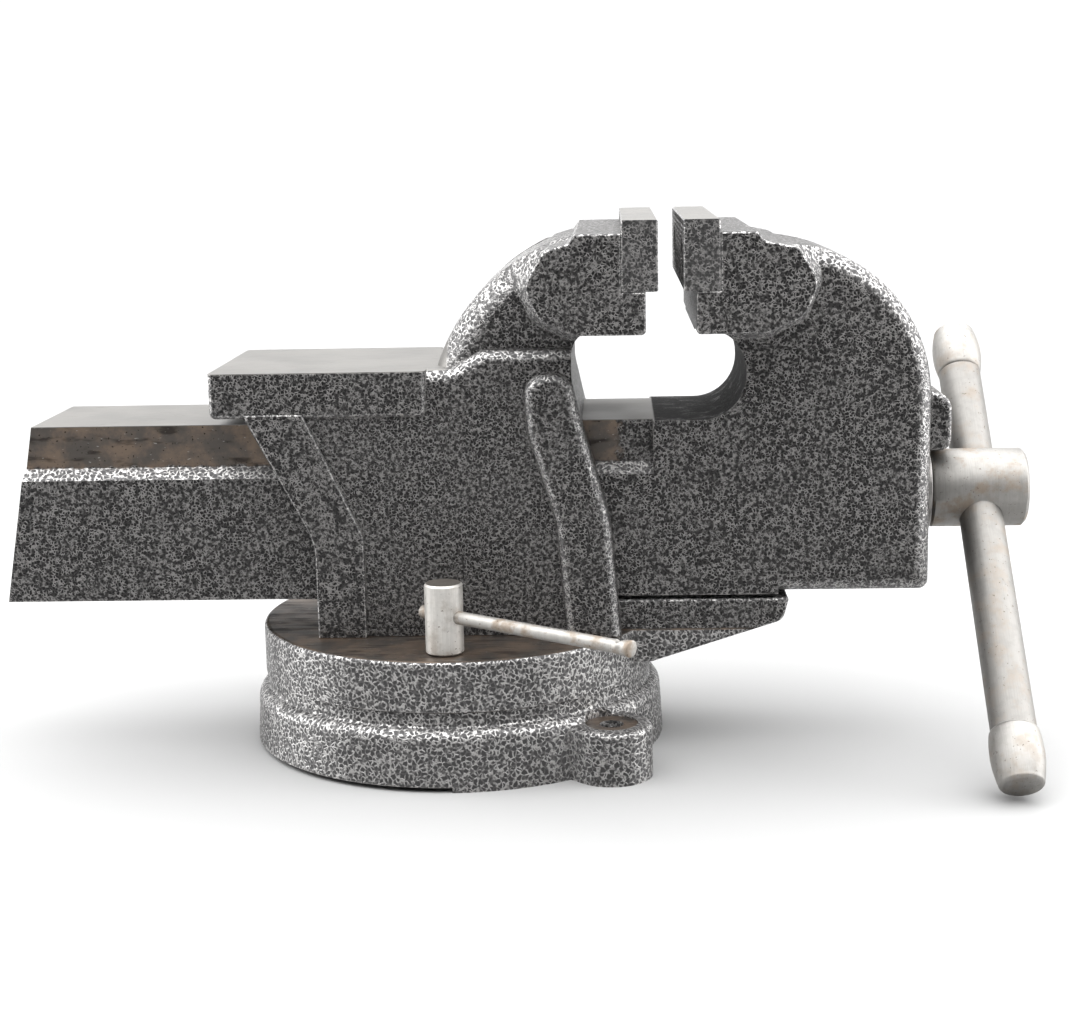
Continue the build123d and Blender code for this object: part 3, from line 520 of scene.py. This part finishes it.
def jaw_oily(surface):
    """The machined flanks of the slide."""
    sizes = bpy.context.scene.vise.casting
    off_middle = surface.math("ABSOLUTE", surface.y)
    ragged = surface.math("MULTIPLY_ADD", surface.noise(0.004, detail=3.0), 0.004, -0.002)
    height = surface.math("ADD", surface.z, ragged)
    return all_of(surface, surface.between(off_middle, sizes.guide_half_width - 0.0008,
                                           sizes.guide_half_width + 0.0004, 0.0004),
                  surface.remap(height, sizes.guide_bottom - 0.0004, sizes.guide_bottom + 0.0012, 0.0, 1.0),
                  surface.remap(surface.math("ADD", surface.x, surface.math("MULTIPLY", ragged, 3.0)),
                                sizes.flank_front + 0.003, sizes.flank_front, 0.0, 1.0))


def jaw_throat_shade(surface):
    """Painted shade in the throat of the moving jaw: a patchy mask on faces that do not face sideways."""
    sizes = bpy.context.scene.vise.casting
    normal = surface.add("ShaderNodeNewGeometry", {}).outputs["Normal"]
    across = surface.math("ABSOLUTE", surface.add("ShaderNodeSeparateXYZ", {"Vector": normal}).outputs[1])
    patchy = surface.remap(surface.noise(0.008, detail=3.0), 0.30, 0.50, 0.55, 0.92)
    return all_of(surface, patchy, surface.remap(across, 0.6, 0.3, 0.0, 1.0),
                  surface.between(surface.x, sizes.shade_rear, sizes.shade_front, 0.001),
                  surface.between(surface.z, sizes.shade_bottom, sizes.shade_top, 0.004))


def base_oily(surface):
    """The seats round the bench bolts and the sliding top of the base."""
    sizes = bpy.context.scene.vise.casting
    seat = all_of(surface, surface.between(surface.z, sizes.ear_top - 0.0004, sizes.ear_top + 0.0004, 0.0003),
                  facing_up(surface))
    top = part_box("swivel_base")[1].z
    return surface.math("MAXIMUM", seat, surface.remap(surface.z, top - 0.0005, top - 0.0002, 0.0, 1.0))


def nowhere(surface):
    return surface.math("MULTIPLY", surface.z, 0.0)


def satin_steel(name, axis, tint=1.0, stained=0.35, dark_top=0.0):
    """Plated steel with fine rings round an axis, soft clouds, brownish stains and pits.

    tint scales the colour, so that one plated steel is drawn darker on the handle, the knobs and the screw
    head and lighter on the lock nuts, as painted shade and painted light. dark_top is how much darker a face
    that looks up is.
    """
    steel = bpy.context.scene.vise.steel
    satin = tuple(tint * part for part in steel.satin)
    surface = Finish(name)
    turn = Vector(axis).rotation_difference(Vector((1, 0, 0))).to_euler()
    turned_point = surface.add("ShaderNodeMapping", {"Vector": surface.point, "Rotation": turn,
                                                     "Scale": (1.0, 0.04, 0.04)}).outputs[0]
    rings = surface.noise(steel.grain * 1.5, detail=3.0, vector=turned_point)
    cloud = surface.noise(0.011, detail=5.0, roughness=0.65)
    mottle = surface.noise(0.0035, detail=3.0)
    specks = surface.noise(0.0015, detail=2.0)
    stain = surface.math("MULTIPLY", surface.remap(cloud, 0.47, 0.66, 0.0, 1.0), stained)
    base = surface.mix(surface.remap(rings, 0.3, 0.7, 0.0, 1.0), tuple(0.86 * part for part in satin), satin)
    base = surface.mix(surface.remap(mottle, 0.45, 0.65, 0.0, 0.22), base,
                       tuple(0.6 * part for part in satin))
    base = surface.mix(stain, base, tuple(steel.stain))
    base = surface.mix(surface.remap(specks, 0.66, 0.74, 0.0, 0.8), base, (0.10, 0.08, 0.065))
    # Brighter edges: partly wear, partly a painted highlight.
    wear_and_edge_highlight = surface.edges(0.0008)
    base = surface.mix(surface.math("MULTIPLY", wear_and_edge_highlight, 0.4), base, tuple(1.25 * part for part in satin))
    if dark_top:
        base = surface.mix(surface.math("MULTIPLY", facing_up(surface), dark_top), base, (0.13, 0.115, 0.10))
    roughness = surface.math("ADD", surface.remap(rings, 0.3, 0.7, 0.50, 0.58),
                             surface.math("MULTIPLY", stain, 0.2))
    normal = surface.bump(surface.math("ADD", rings, surface.math("MULTIPLY", cloud, 3.0)), 0.00005, 0.8)
    return surface.finish(base, roughness, 1.0, normal)


def plain_steel(name, tint=1.0):
    """Plain steel of small hardware: clouds, dark specks and bright edges, partly wear and partly painted
    highlight.
    """
    steel = bpy.context.scene.vise.steel
    surface = Finish(name)
    cloud = surface.noise(0.006, detail=4.0, roughness=0.6)
    tone = tuple(tint * part for part in steel.hardware)
    base = surface.mix(surface.remap(cloud, 0.3, 0.7, 0.0, 1.0), tuple(0.6 * part for part in tone), tone)
    # Bright edges: partly wear, partly a painted highlight.
    base = surface.mix(surface.math("MULTIPLY", surface.edges(0.0006), 0.6), base, (0.5, 0.49, 0.47))
    normal = surface.bump(surface.noise(0.0006, detail=3.0), 0.00005, 0.8)
    return surface.finish(base, surface.remap(cloud, 0.3, 0.7, 0.32, 0.5), 1.0, normal)


def bare_iron(name):
    """Bare cast iron: dark, grainy and a little rusty."""
    surface = Finish(name)
    grain = surface.noise(0.0011, detail=4.0, roughness=0.65)
    rust = surface.noise(0.014, detail=4.0, roughness=0.6)
    base = surface.mix(surface.remap(grain, 0.3, 0.7, 0.0, 1.0), (0.055, 0.052, 0.05), (0.14, 0.135, 0.13))
    base = surface.mix(surface.remap(rust, 0.55, 0.75, 0.0, 0.6), base, (0.13, 0.065, 0.032))
    return surface.finish(base, surface.remap(rust, 0.4, 0.7, 0.5, 0.75), 0.6,
                          surface.bump(grain, 0.0002, 0.9))


def plate_finish():
    """Jaw plate: painted ends and back, bare ground top and bare serrated face."""
    settings = bpy.context.scene.vise
    surface = Finish("jaw_plate_paint")
    base, roughness, metallic, height = hammered(surface, settings.paint)
    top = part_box("jaw_plate_fixed")[1].z
    ragged = surface.math("MULTIPLY_ADD", surface.noise(0.003, detail=2.0), 0.0012, surface.z)
    bare = all_of(surface, surface.remap(ragged, top - 0.0006, top + 0.0002, 0.0, 1.0), facing_up(surface))
    iron_base, iron_roughness = ground_iron(surface, settings.steel, along_x=False)
    base = surface.mix(bare, base, iron_base)
    roughness = surface.blend(bare, roughness, iron_roughness)
    metallic = surface.blend(bare, metallic, 1.0)
    skin = surface.math("MULTIPLY", height, surface.math("SUBTRACT", 1.0, bare))
    return surface.finish(base, roughness, metallic, surface.bump(skin, settings.paint.relief, 0.7),
                          Coat_Weight=0.1, Coat_Roughness=0.25)


# ---- pieces -------------------------------------------------------------------------------------------
def serration(across, up, pitch):
    """Height of crossed V grooves, from 0 in a groove to 1 on a point: the lower of two triangle waves."""
    waves = []
    for slant in (across + up, across - up):
        phase = np.mod(slant / (pitch * math.sqrt(2)), 1.0)
        waves.append(np.abs(2 * phase - 1))
    return np.minimum(*waves)


def plate_surface(low, high, face_side, sizes):
    """Points and faces of a jaw plate.

    The working face is a grid over (y, z); its depth is the groove depth times 1 less the serration, and
    fades out at the border and round the screw pockets. Points near a pocket's edge move onto its circle.
    make_plate then carries rings back along X for the bevels, the four sides and the pockets, and closes them
    with flat faces.
    """
    half, bottom, top, bevel = high.y, low.z, high.z, sizes.bevel
    columns = int(round(2 * (half - bevel) / sizes.mesh_step)) + 1
    rows = int(round((top - bottom - 2 * bevel) / sizes.mesh_step)) + 1
    across, up = np.meshgrid(np.linspace(bevel - half, half - bevel, columns),
                             np.linspace(bottom + bevel, top - bevel, rows), indexing="xy")
    middle = (bottom + top) / 2
    inset = np.minimum(np.minimum(half - bevel - np.abs(across), up - bottom - bevel), top - bevel - up)
    keep = np.ones((rows - 1, columns - 1), bool)
    for centre in (-sizes.screw_spacing / 2, sizes.screw_spacing / 2):
        reach = np.hypot(across - centre, up - middle)
        inset = np.minimum(inset, reach - sizes.pocket_radius)
        snap = np.abs(reach - sizes.pocket_radius) < 0.6 * sizes.mesh_step
        scale = np.where(snap, sizes.pocket_radius / np.maximum(reach, sizes.mesh_step), 1.0)
        across = centre + (across - centre) * scale
        up = middle + (up - middle) * scale
        cell = np.hypot(across[:-1, :-1] + across[1:, 1:] - 2 * centre,
                        up[:-1, :-1] + up[1:, 1:] - 2 * middle) / 2
        keep &= cell > sizes.pocket_radius
    fade = np.clip(inset / sizes.border, 0, 1)
    depth = sizes.depth * (1 - serration(across, up, sizes.pitch)) * fade
    front = high.x if face_side > 0 else low.x
    back = low.x if face_side > 0 else high.x
    points = np.stack([front - face_side * depth, across, up], axis=-1).reshape(-1, 3)
    faces = grid_faces(rows, columns)[keep.reshape(-1)]
    return points, faces.tolist(), front, back


def make_plate(name, body, face_side, finish):
    """One serrated jaw plate, in place of the model's plain one."""
    sizes = bpy.context.scene.vise.plate
    low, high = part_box(name)
    points, faces, front, back = plate_surface(low, high, face_side, sizes)
    piece = new_piece(f"{name}_serrated", points, faces, body, finish)
    work = bmesh.new()
    work.from_mesh(piece.data)
    rim = [edge for edge in work.edges if edge.is_boundary]
    middle_z = (low.z + high.z) / 2

    def pocket_edge(edge):
        spot = (edge.verts[0].co + edge.verts[1].co) / 2
        return abs(abs(spot.y) - sizes.screw_spacing / 2) < sizes.pocket_radius * 1.3 and (
            abs(spot.z - middle_z) < sizes.pocket_radius * 1.3)

    pockets = [edge for edge in rim if pocket_edge(edge)]
    outer = [edge for edge in rim if not pocket_edge(edge)]
    carry_back(work, pockets, [(front - face_side * sizes.pocket_depth, 0.0)], low, high)
    carry_back(work, outer, [(front - face_side * sizes.bevel, sizes.bevel),
                             (back + face_side * sizes.bevel, 0.0), (back, -sizes.bevel)], low, high)
    bmesh.ops.recalc_face_normals(work, faces=work.faces)
    work.to_mesh(piece.data)
    work.free()
    piece.data.shade_smooth()
    piece.data.set_sharp_from_angle(angle=math.radians(20))
    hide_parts(name)


def carry_back(work, edges, steps, low, high):
    """Carry a loop of edges back through (x, growth) steps, and close the last loop with a flat face."""
    middle = (low + high) / 2
    for x, growth in steps:
        grown = bmesh.ops.extrude_edge_only(work, edges=edges)["geom"]
        edges = [item for item in grown if isinstance(item, bmesh.types.BMEdge) and item.is_boundary]
        for point in {vert for edge in edges for vert in edge.verts}:
            point.co.x = x
            if growth:
                grow_outline(point, growth, middle, low, high)
    bmesh.ops.holes_fill(work, edges=edges)


def grow_outline(point, growth, middle, low, high):
    """Move a point of a rectangular loop outwards on the sides that it lies on."""
    limits = ((1, low.y, high.y), (2, low.z, high.z))
    for axis, least, most in limits:
        offset = point.co[axis] - middle[axis]
        half = (most - least) / 2
        if half - abs(offset) < abs(growth) * 1.5:
            point.co[axis] += growth if offset > 0 else -growth


def thread_surface(start, end, axis_z, major, sizes):
    """Points and faces of a trapezoidal thread.

    Point (i, j) lies at x = start + pitch * (a_i / 2 pi - 1 + p_j) and at radius r_j, where a_i is the angle
    along the helix and (p_j, r_j) is one period of the profile. Points beyond the ends are held at the ends.
    """
    root = major - sizes.depth
    profile = np.array([(0.0, root), (0.30, root), (0.42, major), (0.60, major), (0.68, major),
                        (0.80, root), (1.0, root)])
    turns = int(math.ceil((end - start) / sizes.pitch)) + 1
    angle = np.arange(turns * sizes.steps + 1) * 2 * math.pi / sizes.steps
    x = start + sizes.pitch * (angle[:, None] / (2 * math.pi) - 1 + profile[None, :, 0])
    held = np.clip(x, start, end)
    radius = np.broadcast_to(profile[None, :, 1], x.shape)
    radius = np.minimum(radius, root + np.maximum(held - start, 0) * 1.2 + (major - root) * 0.15)
    points = np.stack([held, -radius * np.sin(angle)[:, None], axis_z + radius * np.cos(angle)[:, None]],
                      axis=-1)
    return points.reshape(-1, 3), grid_faces(len(angle), len(profile))


def make_screw(finish, head_finish):
    """The threaded shank, and the head cut from the model's own mesh."""
    sizes = bpy.context.scene.vise.screw
    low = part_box("lead_screw")[0]
    axis_z = centre_of("retaining_collar").z
    axis_y = centre_of("retaining_collar").y
    head_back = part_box("thrust_washer")[1].x
    washer_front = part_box("thrust_washer")[0].x
    shank = node_points("lead_screw")
    shank = shank[shank[:, 0] < washer_front - sizes.journal]
    major = np.hypot(shank[:, 1] - axis_y, shank[:, 2] - axis_z).max()
    thread_end = washer_front - sizes.journal
    root = major - sizes.depth
    core, core_faces = turned([(low.x, 0), (low.x, root - sizes.chamfer / 2),
                               (low.x + sizes.chamfer, root + 0.0001),
                               (thread_end, root + 0.0001), (thread_end + sizes.depth, major),
                               (head_back + 0.0006, major), (head_back + 0.0006, 0)],
                              (0, axis_y, axis_z), (1, 0, 0), sizes.steps)
    ridge, ridge_faces = thread_surface(low.x + sizes.chamfer, thread_end + sizes.depth, axis_z, major,
                                           sizes)
    points = np.concatenate([core, ridge])
    faces = core_faces.tolist() + (ridge_faces + len(core)).tolist()
    piece = new_piece("screw_thread", points, faces, "screw", finish)
    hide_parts("lead_screw")
    head = frame["nodes"]["lead_screw"].copy()
    head.data = frame["nodes"]["lead_screw"].data.copy()
    for key in list(head.keys()):
        del head[key]
    head.name = "screw_head"
    head.parent = None
    head.hide_render = False
    head.hide_viewport = False
    bpy.context.scene.collection.objects.link(head)
    work = bmesh.new()
    work.from_mesh(head.data)
    bmesh.ops.remove_doubles(work, verts=work.verts, dist=1e-6)
    cut = bmesh.ops.bisect_plane(work, geom=[*work.verts, *work.edges, *work.faces],
                                 plane_co=(head_back, 0, 0),
                                 plane_no=(1, 0, 0), clear_inner=True)
    bmesh.ops.holes_fill(work,
                         edges=[item for item in cut["geom_cut"] if isinstance(item, bmesh.types.BMEdge)])
    work.to_mesh(head.data)
    work.free()
    head.data.materials.clear()
    head.data.materials.append(head_finish)
    head.data.shade_smooth()
    head.data.set_sharp_from_angle(angle=math.radians(30))
    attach(head, "screw")


def knob_profile(long, sizes, smooth_neck):
    """(distance, radius) along a knob: a parabola through neck, belly and tip, a round edge, a domed end."""
    run = np.linspace(0, long - sizes.edge, 24)
    share_run = run / run[-1]
    neck = sizes.neck - 0.0006 if smooth_neck else sizes.neck
    curve = np.polynomial.Polynomial.fit([0, 0.55, 1], [neck, sizes.belly, sizes.tip], 2)(share_run)
    turn = np.linspace(0, math.pi / 2, 7)[1:]
    edge_run = run[-1] + sizes.edge * np.sin(turn)
    edge_radius = sizes.tip - sizes.edge * (1 - np.cos(turn))
    dome = np.linspace(1, 0, 8)[1:]
    start = [(0.0, 0.0), (0.0, neck - 0.0008), (0.0004, neck - 0.0002)]
    body = list(zip(run[1:], curve[1:])) + list(zip(edge_run, edge_radius))
    face = [(long - 0.0002 * (1 - part), edge_radius[-1] * part) for part in dome]
    return start + body + face


def make_knob(name, outward, smooth_neck, finish):
    """A knob on one end of the handle, in place of the model's plain one."""
    sizes = bpy.context.scene.vise.handle
    direction = np.array(joint_axis("handle_slide")) * outward
    axis_point = np.array([centre_of("handle_bar").x, 0.0, centre_of("retaining_collar").z])
    along = (node_points(name) - axis_point) @ direction
    points, faces = turned(knob_profile(along.max() - along.min(), sizes, smooth_neck),
                           axis_point + direction * along.min(), direction, steps=72)
    piece = new_piece(f"{name}_turned", points, faces, "handle", finish)
    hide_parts(name)


def lock_bar_surface(low, high, sizes, steps=48):
    """(distance, ring) points of a lock bar about its own axis.

    The radius is that of the bar, swells to the peened end by the square of the way in, and is rounded over
    at both ends. The notch flattens the top: no point there stands higher than the bar less the notch.
    """
    swell_start = high - sizes.upset_length
    distance = np.concatenate([[low, low], low + 0.0006 * np.array([0.3, 1.0]),
                               np.linspace(low + 0.004, swell_start, 30),
                               np.linspace(swell_start, high - 0.0008, 44)[1:],
                               high - 0.0008 * np.array([0.5, 0.2, 0, 0])])
    way = np.clip((distance - swell_start) / sizes.upset_length, 0, 1)
    radius = sizes.bar_radius + sizes.upset * way ** 2
    radius[:4] = [0, sizes.bar_radius * 0.86, sizes.bar_radius * 0.95, sizes.bar_radius]
    radius[-4:] = radius[-5] * np.array([0.985, 0.93, 0.8, 0])
    angle = np.linspace(0, 2 * math.pi, steps, endpoint=False)
    side = radius[:, None] * np.cos(angle)
    up = radius[:, None] * np.sin(angle)
    notch = np.clip(1 - np.abs(distance - (high - sizes.notch_place)) / (sizes.notch_length / 2), 0, 1)
    ceiling = sizes.bar_radius + sizes.upset - (sizes.notch_depth + sizes.upset) * np.sqrt(notch)
    up = np.minimum(up, np.where(notch > 0, ceiling, 1.0)[:, None])
    side = side * (1 + 0.16 * notch[:, None])
    return distance, side, up


def make_lock_bar(name, body, joint, leaning, finish):
    """A lock bar with its punched, peened end, in place of the model's plain one."""
    sizes = bpy.context.scene.vise.lock
    along, side_axis, up_axis = axes_about(joint_axis(joint))
    nut = centre_of(name.replace("bar", "nut"))
    origin = np.array([nut.x, nut.y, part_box(name)[0].z / 2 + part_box(name)[1].z / 2])
    reach = (node_points(name) - origin) @ along
    distance, side, up = lock_bar_surface(reach.min(), reach.max(), sizes)
    lean_side = math.cos(leaning) * side_axis + math.sin(leaning) * up_axis
    lean_up = math.cos(leaning) * up_axis - math.sin(leaning) * side_axis
    points = origin + distance[:, None, None] * along + side[..., None] * lean_side + up[..., None] * lean_up
    piece = new_piece(f"{name}_peened", points.reshape(-1, 3),
                      grid_faces(len(distance), side.shape[1], wrap=True), body,
                      finish)
    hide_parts(name)


def cover(nodes, finish):
    """Give CAD nodes a finish."""
    for node in nodes:
        materials = frame["nodes"][node].data.materials
        materials.clear()
        materials.append(finish)


# ---- studio -------------------------------------------------------------------------------------------
def make_floor(studio):
    """Wide round floor, whose far rim is everywhere at the same distance; the light turns its grey white.

    Point (i, j) is (r_i cos a_j, r_i sin a_j, 0), where r_i grows from 0 to the reach by equal steps.
    """
    points, faces = turned([(0.0, radius) for radius in np.linspace(0.0, studio.floor_reach, 9)],
                           (0, 0, 0), (0, 0, 1), steps=48)
    mesh = bpy.data.meshes.new("floor")
    mesh.from_pydata(points.tolist(), [], faces.tolist())
    floor = bpy.data.objects.new("floor", mesh)
    bpy.context.scene.collection.objects.link(floor)
    close_up(mesh)
    surface = Finish("pale_floor")
    mottle = surface.noise(0.4, detail=2.0)
    base = surface.mix(mottle, tuple(0.99 * part for part in studio.floor), tuple(studio.floor))
    mesh.materials.append(surface.finish(base, 0.9, 0.0, Specular_IOR_Level=0.1))


def make_top_light(studio):
    """Broad soft light from above, as strong at the far rim of the floor as at the vise."""
    light = bpy.data.lights.new("top_light", "SUN")
    light.energy = studio.top_light
    light.angle = studio.top_spread
    bpy.context.scene.collection.objects.link(bpy.data.objects.new("top_light", light))


def make_light(name, spot, aim, size, power):
    light = bpy.data.lights.new(name, "AREA")
    light.shape = "RECTANGLE"
    light.size, light.size_y = size
    light.energy = power
    lamp = bpy.data.objects.new(name, light)
    lamp.location = spot
    lamp.rotation_euler = (Vector(aim) - Vector(spot)).to_track_quat("-Z", "Y").to_euler()
    bpy.context.scene.collection.objects.link(lamp)


def make_surroundings(studio):
    """White room that is darker on the camera's side, so that round steel shows a darker middle."""
    world = bpy.data.worlds.new("studio")
    world.use_nodes = True
    bpy.context.scene.world = world
    tree = world.node_tree
    direction = tree.nodes.new("ShaderNodeTexCoord").outputs["Generated"]
    parts = tree.nodes.new("ShaderNodeSeparateXYZ")
    tree.links.new(direction, parts.inputs[0])
    ramp = tree.nodes.new("ShaderNodeMapRange")
    ramp.interpolation_type = "SMOOTHSTEP"
    tree.links.new(parts.outputs[1], ramp.inputs["Value"])
    ramp.inputs["From Min"].default_value = studio.dark_until
    ramp.inputs["From Max"].default_value = studio.bright_from
    ramp.inputs["To Min"].default_value = studio.room_dark
    ramp.inputs["To Max"].default_value = studio.room_bright
    background = tree.nodes["Background"]
    background.inputs["Color"].default_value = (1.0, 1.0, 1.0, 1.0)
    tree.links.new(ramp.outputs["Result"], background.inputs["Strength"])


def make_camera(studio):
    camera = bpy.data.cameras.new("camera")
    camera.sensor_width = 36.0
    camera.lens = studio.lens
    camera.clip_start = 0.01
    view = bpy.data.objects.new("camera", camera)
    view.matrix_world = (Matrix.Translation(studio.camera_place) @ Matrix.Rotation(studio.turn, 4, "Z")
                         @ Matrix.Rotation(math.pi / 2 - studio.tilt, 4, "X") @ Matrix.Rotation(studio.roll,
                                                                                                4, "Z"))
    bpy.context.scene.collection.objects.link(view)
    bpy.context.scene.camera = view


# ---- operators ----------------------------------------------------------------------------------------
class VISE_OT_stage(bpy.types.Operator):
    """Add the floor, the soft lights and the camera"""
    bl_idname = "vise.stage"
    bl_label = "Studio"

    def execute(self, context):
        studio = context.scene.vise.studio
        make_floor(studio)
        make_surroundings(studio)
        make_top_light(studio)
        across, back, height = studio.side_place
        for label, side in (("left_light", -1), ("right_light", 1)):
            make_light(label, (side * across, back, height), (0.0, 0.0, studio.side_aim), studio.side_size,
                       studio.side_light)
        make_camera(studio)
        context.scene.view_settings.view_transform = "Standard"
        return {"FINISHED"}


class VISE_OT_castings(bpy.types.Operator):
    """Paint the body, the moving jaw and the swivel base, and bare their machined faces"""
    bl_idname = "vise.castings"
    bl_label = "Castings"

    def execute(self, context):
        cover(["vise_body"], casting_finish("body_paint", body_bare, body_oily, nowhere))
        cover(["moving_jaw"], casting_finish("jaw_paint", jaw_bare, jaw_oily, jaw_throat_shade))
        cover(["swivel_base"], casting_finish("base_paint", nowhere, base_oily, nowhere))
        return {"FINISHED"}


class VISE_OT_jaw_plates(bpy.types.Operator):
    """Make the two serrated jaw plates"""
    bl_idname = "vise.jaw_plates"
    bl_label = "Jaw plates"

    def execute(self, context):
        finish = plate_finish()
        make_plate("jaw_plate_fixed", "body", 1, finish)
        make_plate("jaw_plate_moving", "jaw", -1, finish)
        return {"FINISHED"}


class VISE_OT_screw(bpy.types.Operator):
    """Make the threaded screw and its head"""
    bl_idname = "vise.screw"
    bl_label = "Screw"

    def execute(self, context):
        # The head's steel gets tint 0.70 and is drawn darker: painted shade.
        make_screw(plain_steel("screw_steel", tint=1.2),
                   satin_steel("head_steel", (1, 0, 0), 0.70, stained=0.7))
        return {"FINISHED"}


class VISE_OT_handle(bpy.types.Operator):
    """Finish the handle and make its two end knobs"""
    bl_idname = "vise.handle"
    bl_label = "Handle"

    def execute(self, context):
        # Tints 0.55 and 0.78 draw the handle and the knobs darker: painted shade.
        cover(["handle_bar"], satin_steel("handle_steel", joint_axis("handle_slide"), 0.55))
        finish = satin_steel("knob_steel", joint_axis("handle_slide"), 0.78)
        make_knob("handle_knob_lower", 1, False, finish)
        make_knob("handle_knob_upper", -1, True, finish)
        return {"FINISHED"}


class VISE_OT_locks(bpy.types.Operator):
    """Finish the two lock nuts and make their bars"""
    bl_idname = "vise.locks"
    bl_label = "Swivel locks"

    def execute(self, context):
        # Tint 1.5 draws the lock nuts lighter: painted light.
        cover(["lock_nut_near", "lock_nut_far"], satin_steel("lock_nut_steel", (0, 0, 1), 1.5, dark_top=0.9))
        for label, leaning in (("near", math.radians(20)), ("far", math.radians(-20))):
            joint = f"lock_{label}_slide"
            finish = satin_steel(f"lock_bar_steel_{label}", joint_axis(joint), stained=0.8)
            make_lock_bar(f"lock_bar_{label}", f"lock_{label}_bar", joint, leaning, finish)
        return {"FINISHED"}


class VISE_OT_hardware(bpy.types.Operator):
    """Finish the bolts, screws, washers, collar, pin and nut"""
    bl_idname = "vise.hardware"
    bl_label = "Hardware"

    def execute(self, context):
        cover(["jaw_screws_fixed", "jaw_screws_moving", "nut_bolts", "pivot_bolt", "pivot_washer",
               "t_bolt_near",
               "t_bolt_far", "thrust_washer", "retaining_collar", "collar_pin"],
              plain_steel("hardware_steel"))
        cover(["spindle_nut"], bare_iron("nut_iron"))
        return {"FINISHED"}


class ViseSettings(bpy.types.PropertyGroup):
    paint: PointerProperty(type=PaintSettings)
    casting: PointerProperty(type=CastingSettings)
    steel: PointerProperty(type=SteelSettings)
    plate: PointerProperty(type=PlateSettings)
    screw: PointerProperty(type=ScrewSettings)
    handle: PointerProperty(type=HandleSettings)
    lock: PointerProperty(type=LockSettings)
    studio: PointerProperty(type=StudioSettings)


OPERATORS = (VISE_OT_stage, VISE_OT_castings, VISE_OT_jaw_plates, VISE_OT_screw, VISE_OT_handle,
             VISE_OT_locks,
             VISE_OT_hardware)


class VISE_PT_panel(bpy.types.Panel):
    bl_label = "Bench vise"
    bl_idname = "VISE_PT_panel"
    bl_space_type = "VIEW_3D"
    bl_region_type = "UI"
    bl_category = "Vise"

    def draw(self, context):
        for operator in OPERATORS:
            self.layout.operator(operator.bl_idname)


CLASSES = (PaintSettings, CastingSettings, SteelSettings, PlateSettings, ScrewSettings, HandleSettings,
           LockSettings,
           StudioSettings, ViseSettings, *OPERATORS, VISE_PT_panel)


def register():
    for item in CLASSES:
        bpy.utils.register_class(item)
    bpy.types.Scene.vise = PointerProperty(type=ViseSettings)


def unregister():
    del bpy.types.Scene.vise
    for item in reversed(CLASSES):
        bpy.utils.unregister_class(item)


def main():
    register()
    bpy.ops.vise.stage()
    bpy.ops.vise.castings()
    bpy.ops.vise.jaw_plates()
    bpy.ops.vise.screw()
    bpy.ops.vise.handle()
    bpy.ops.vise.locks()
    bpy.ops.vise.hardware()


if __name__ == "__main__":
    main()
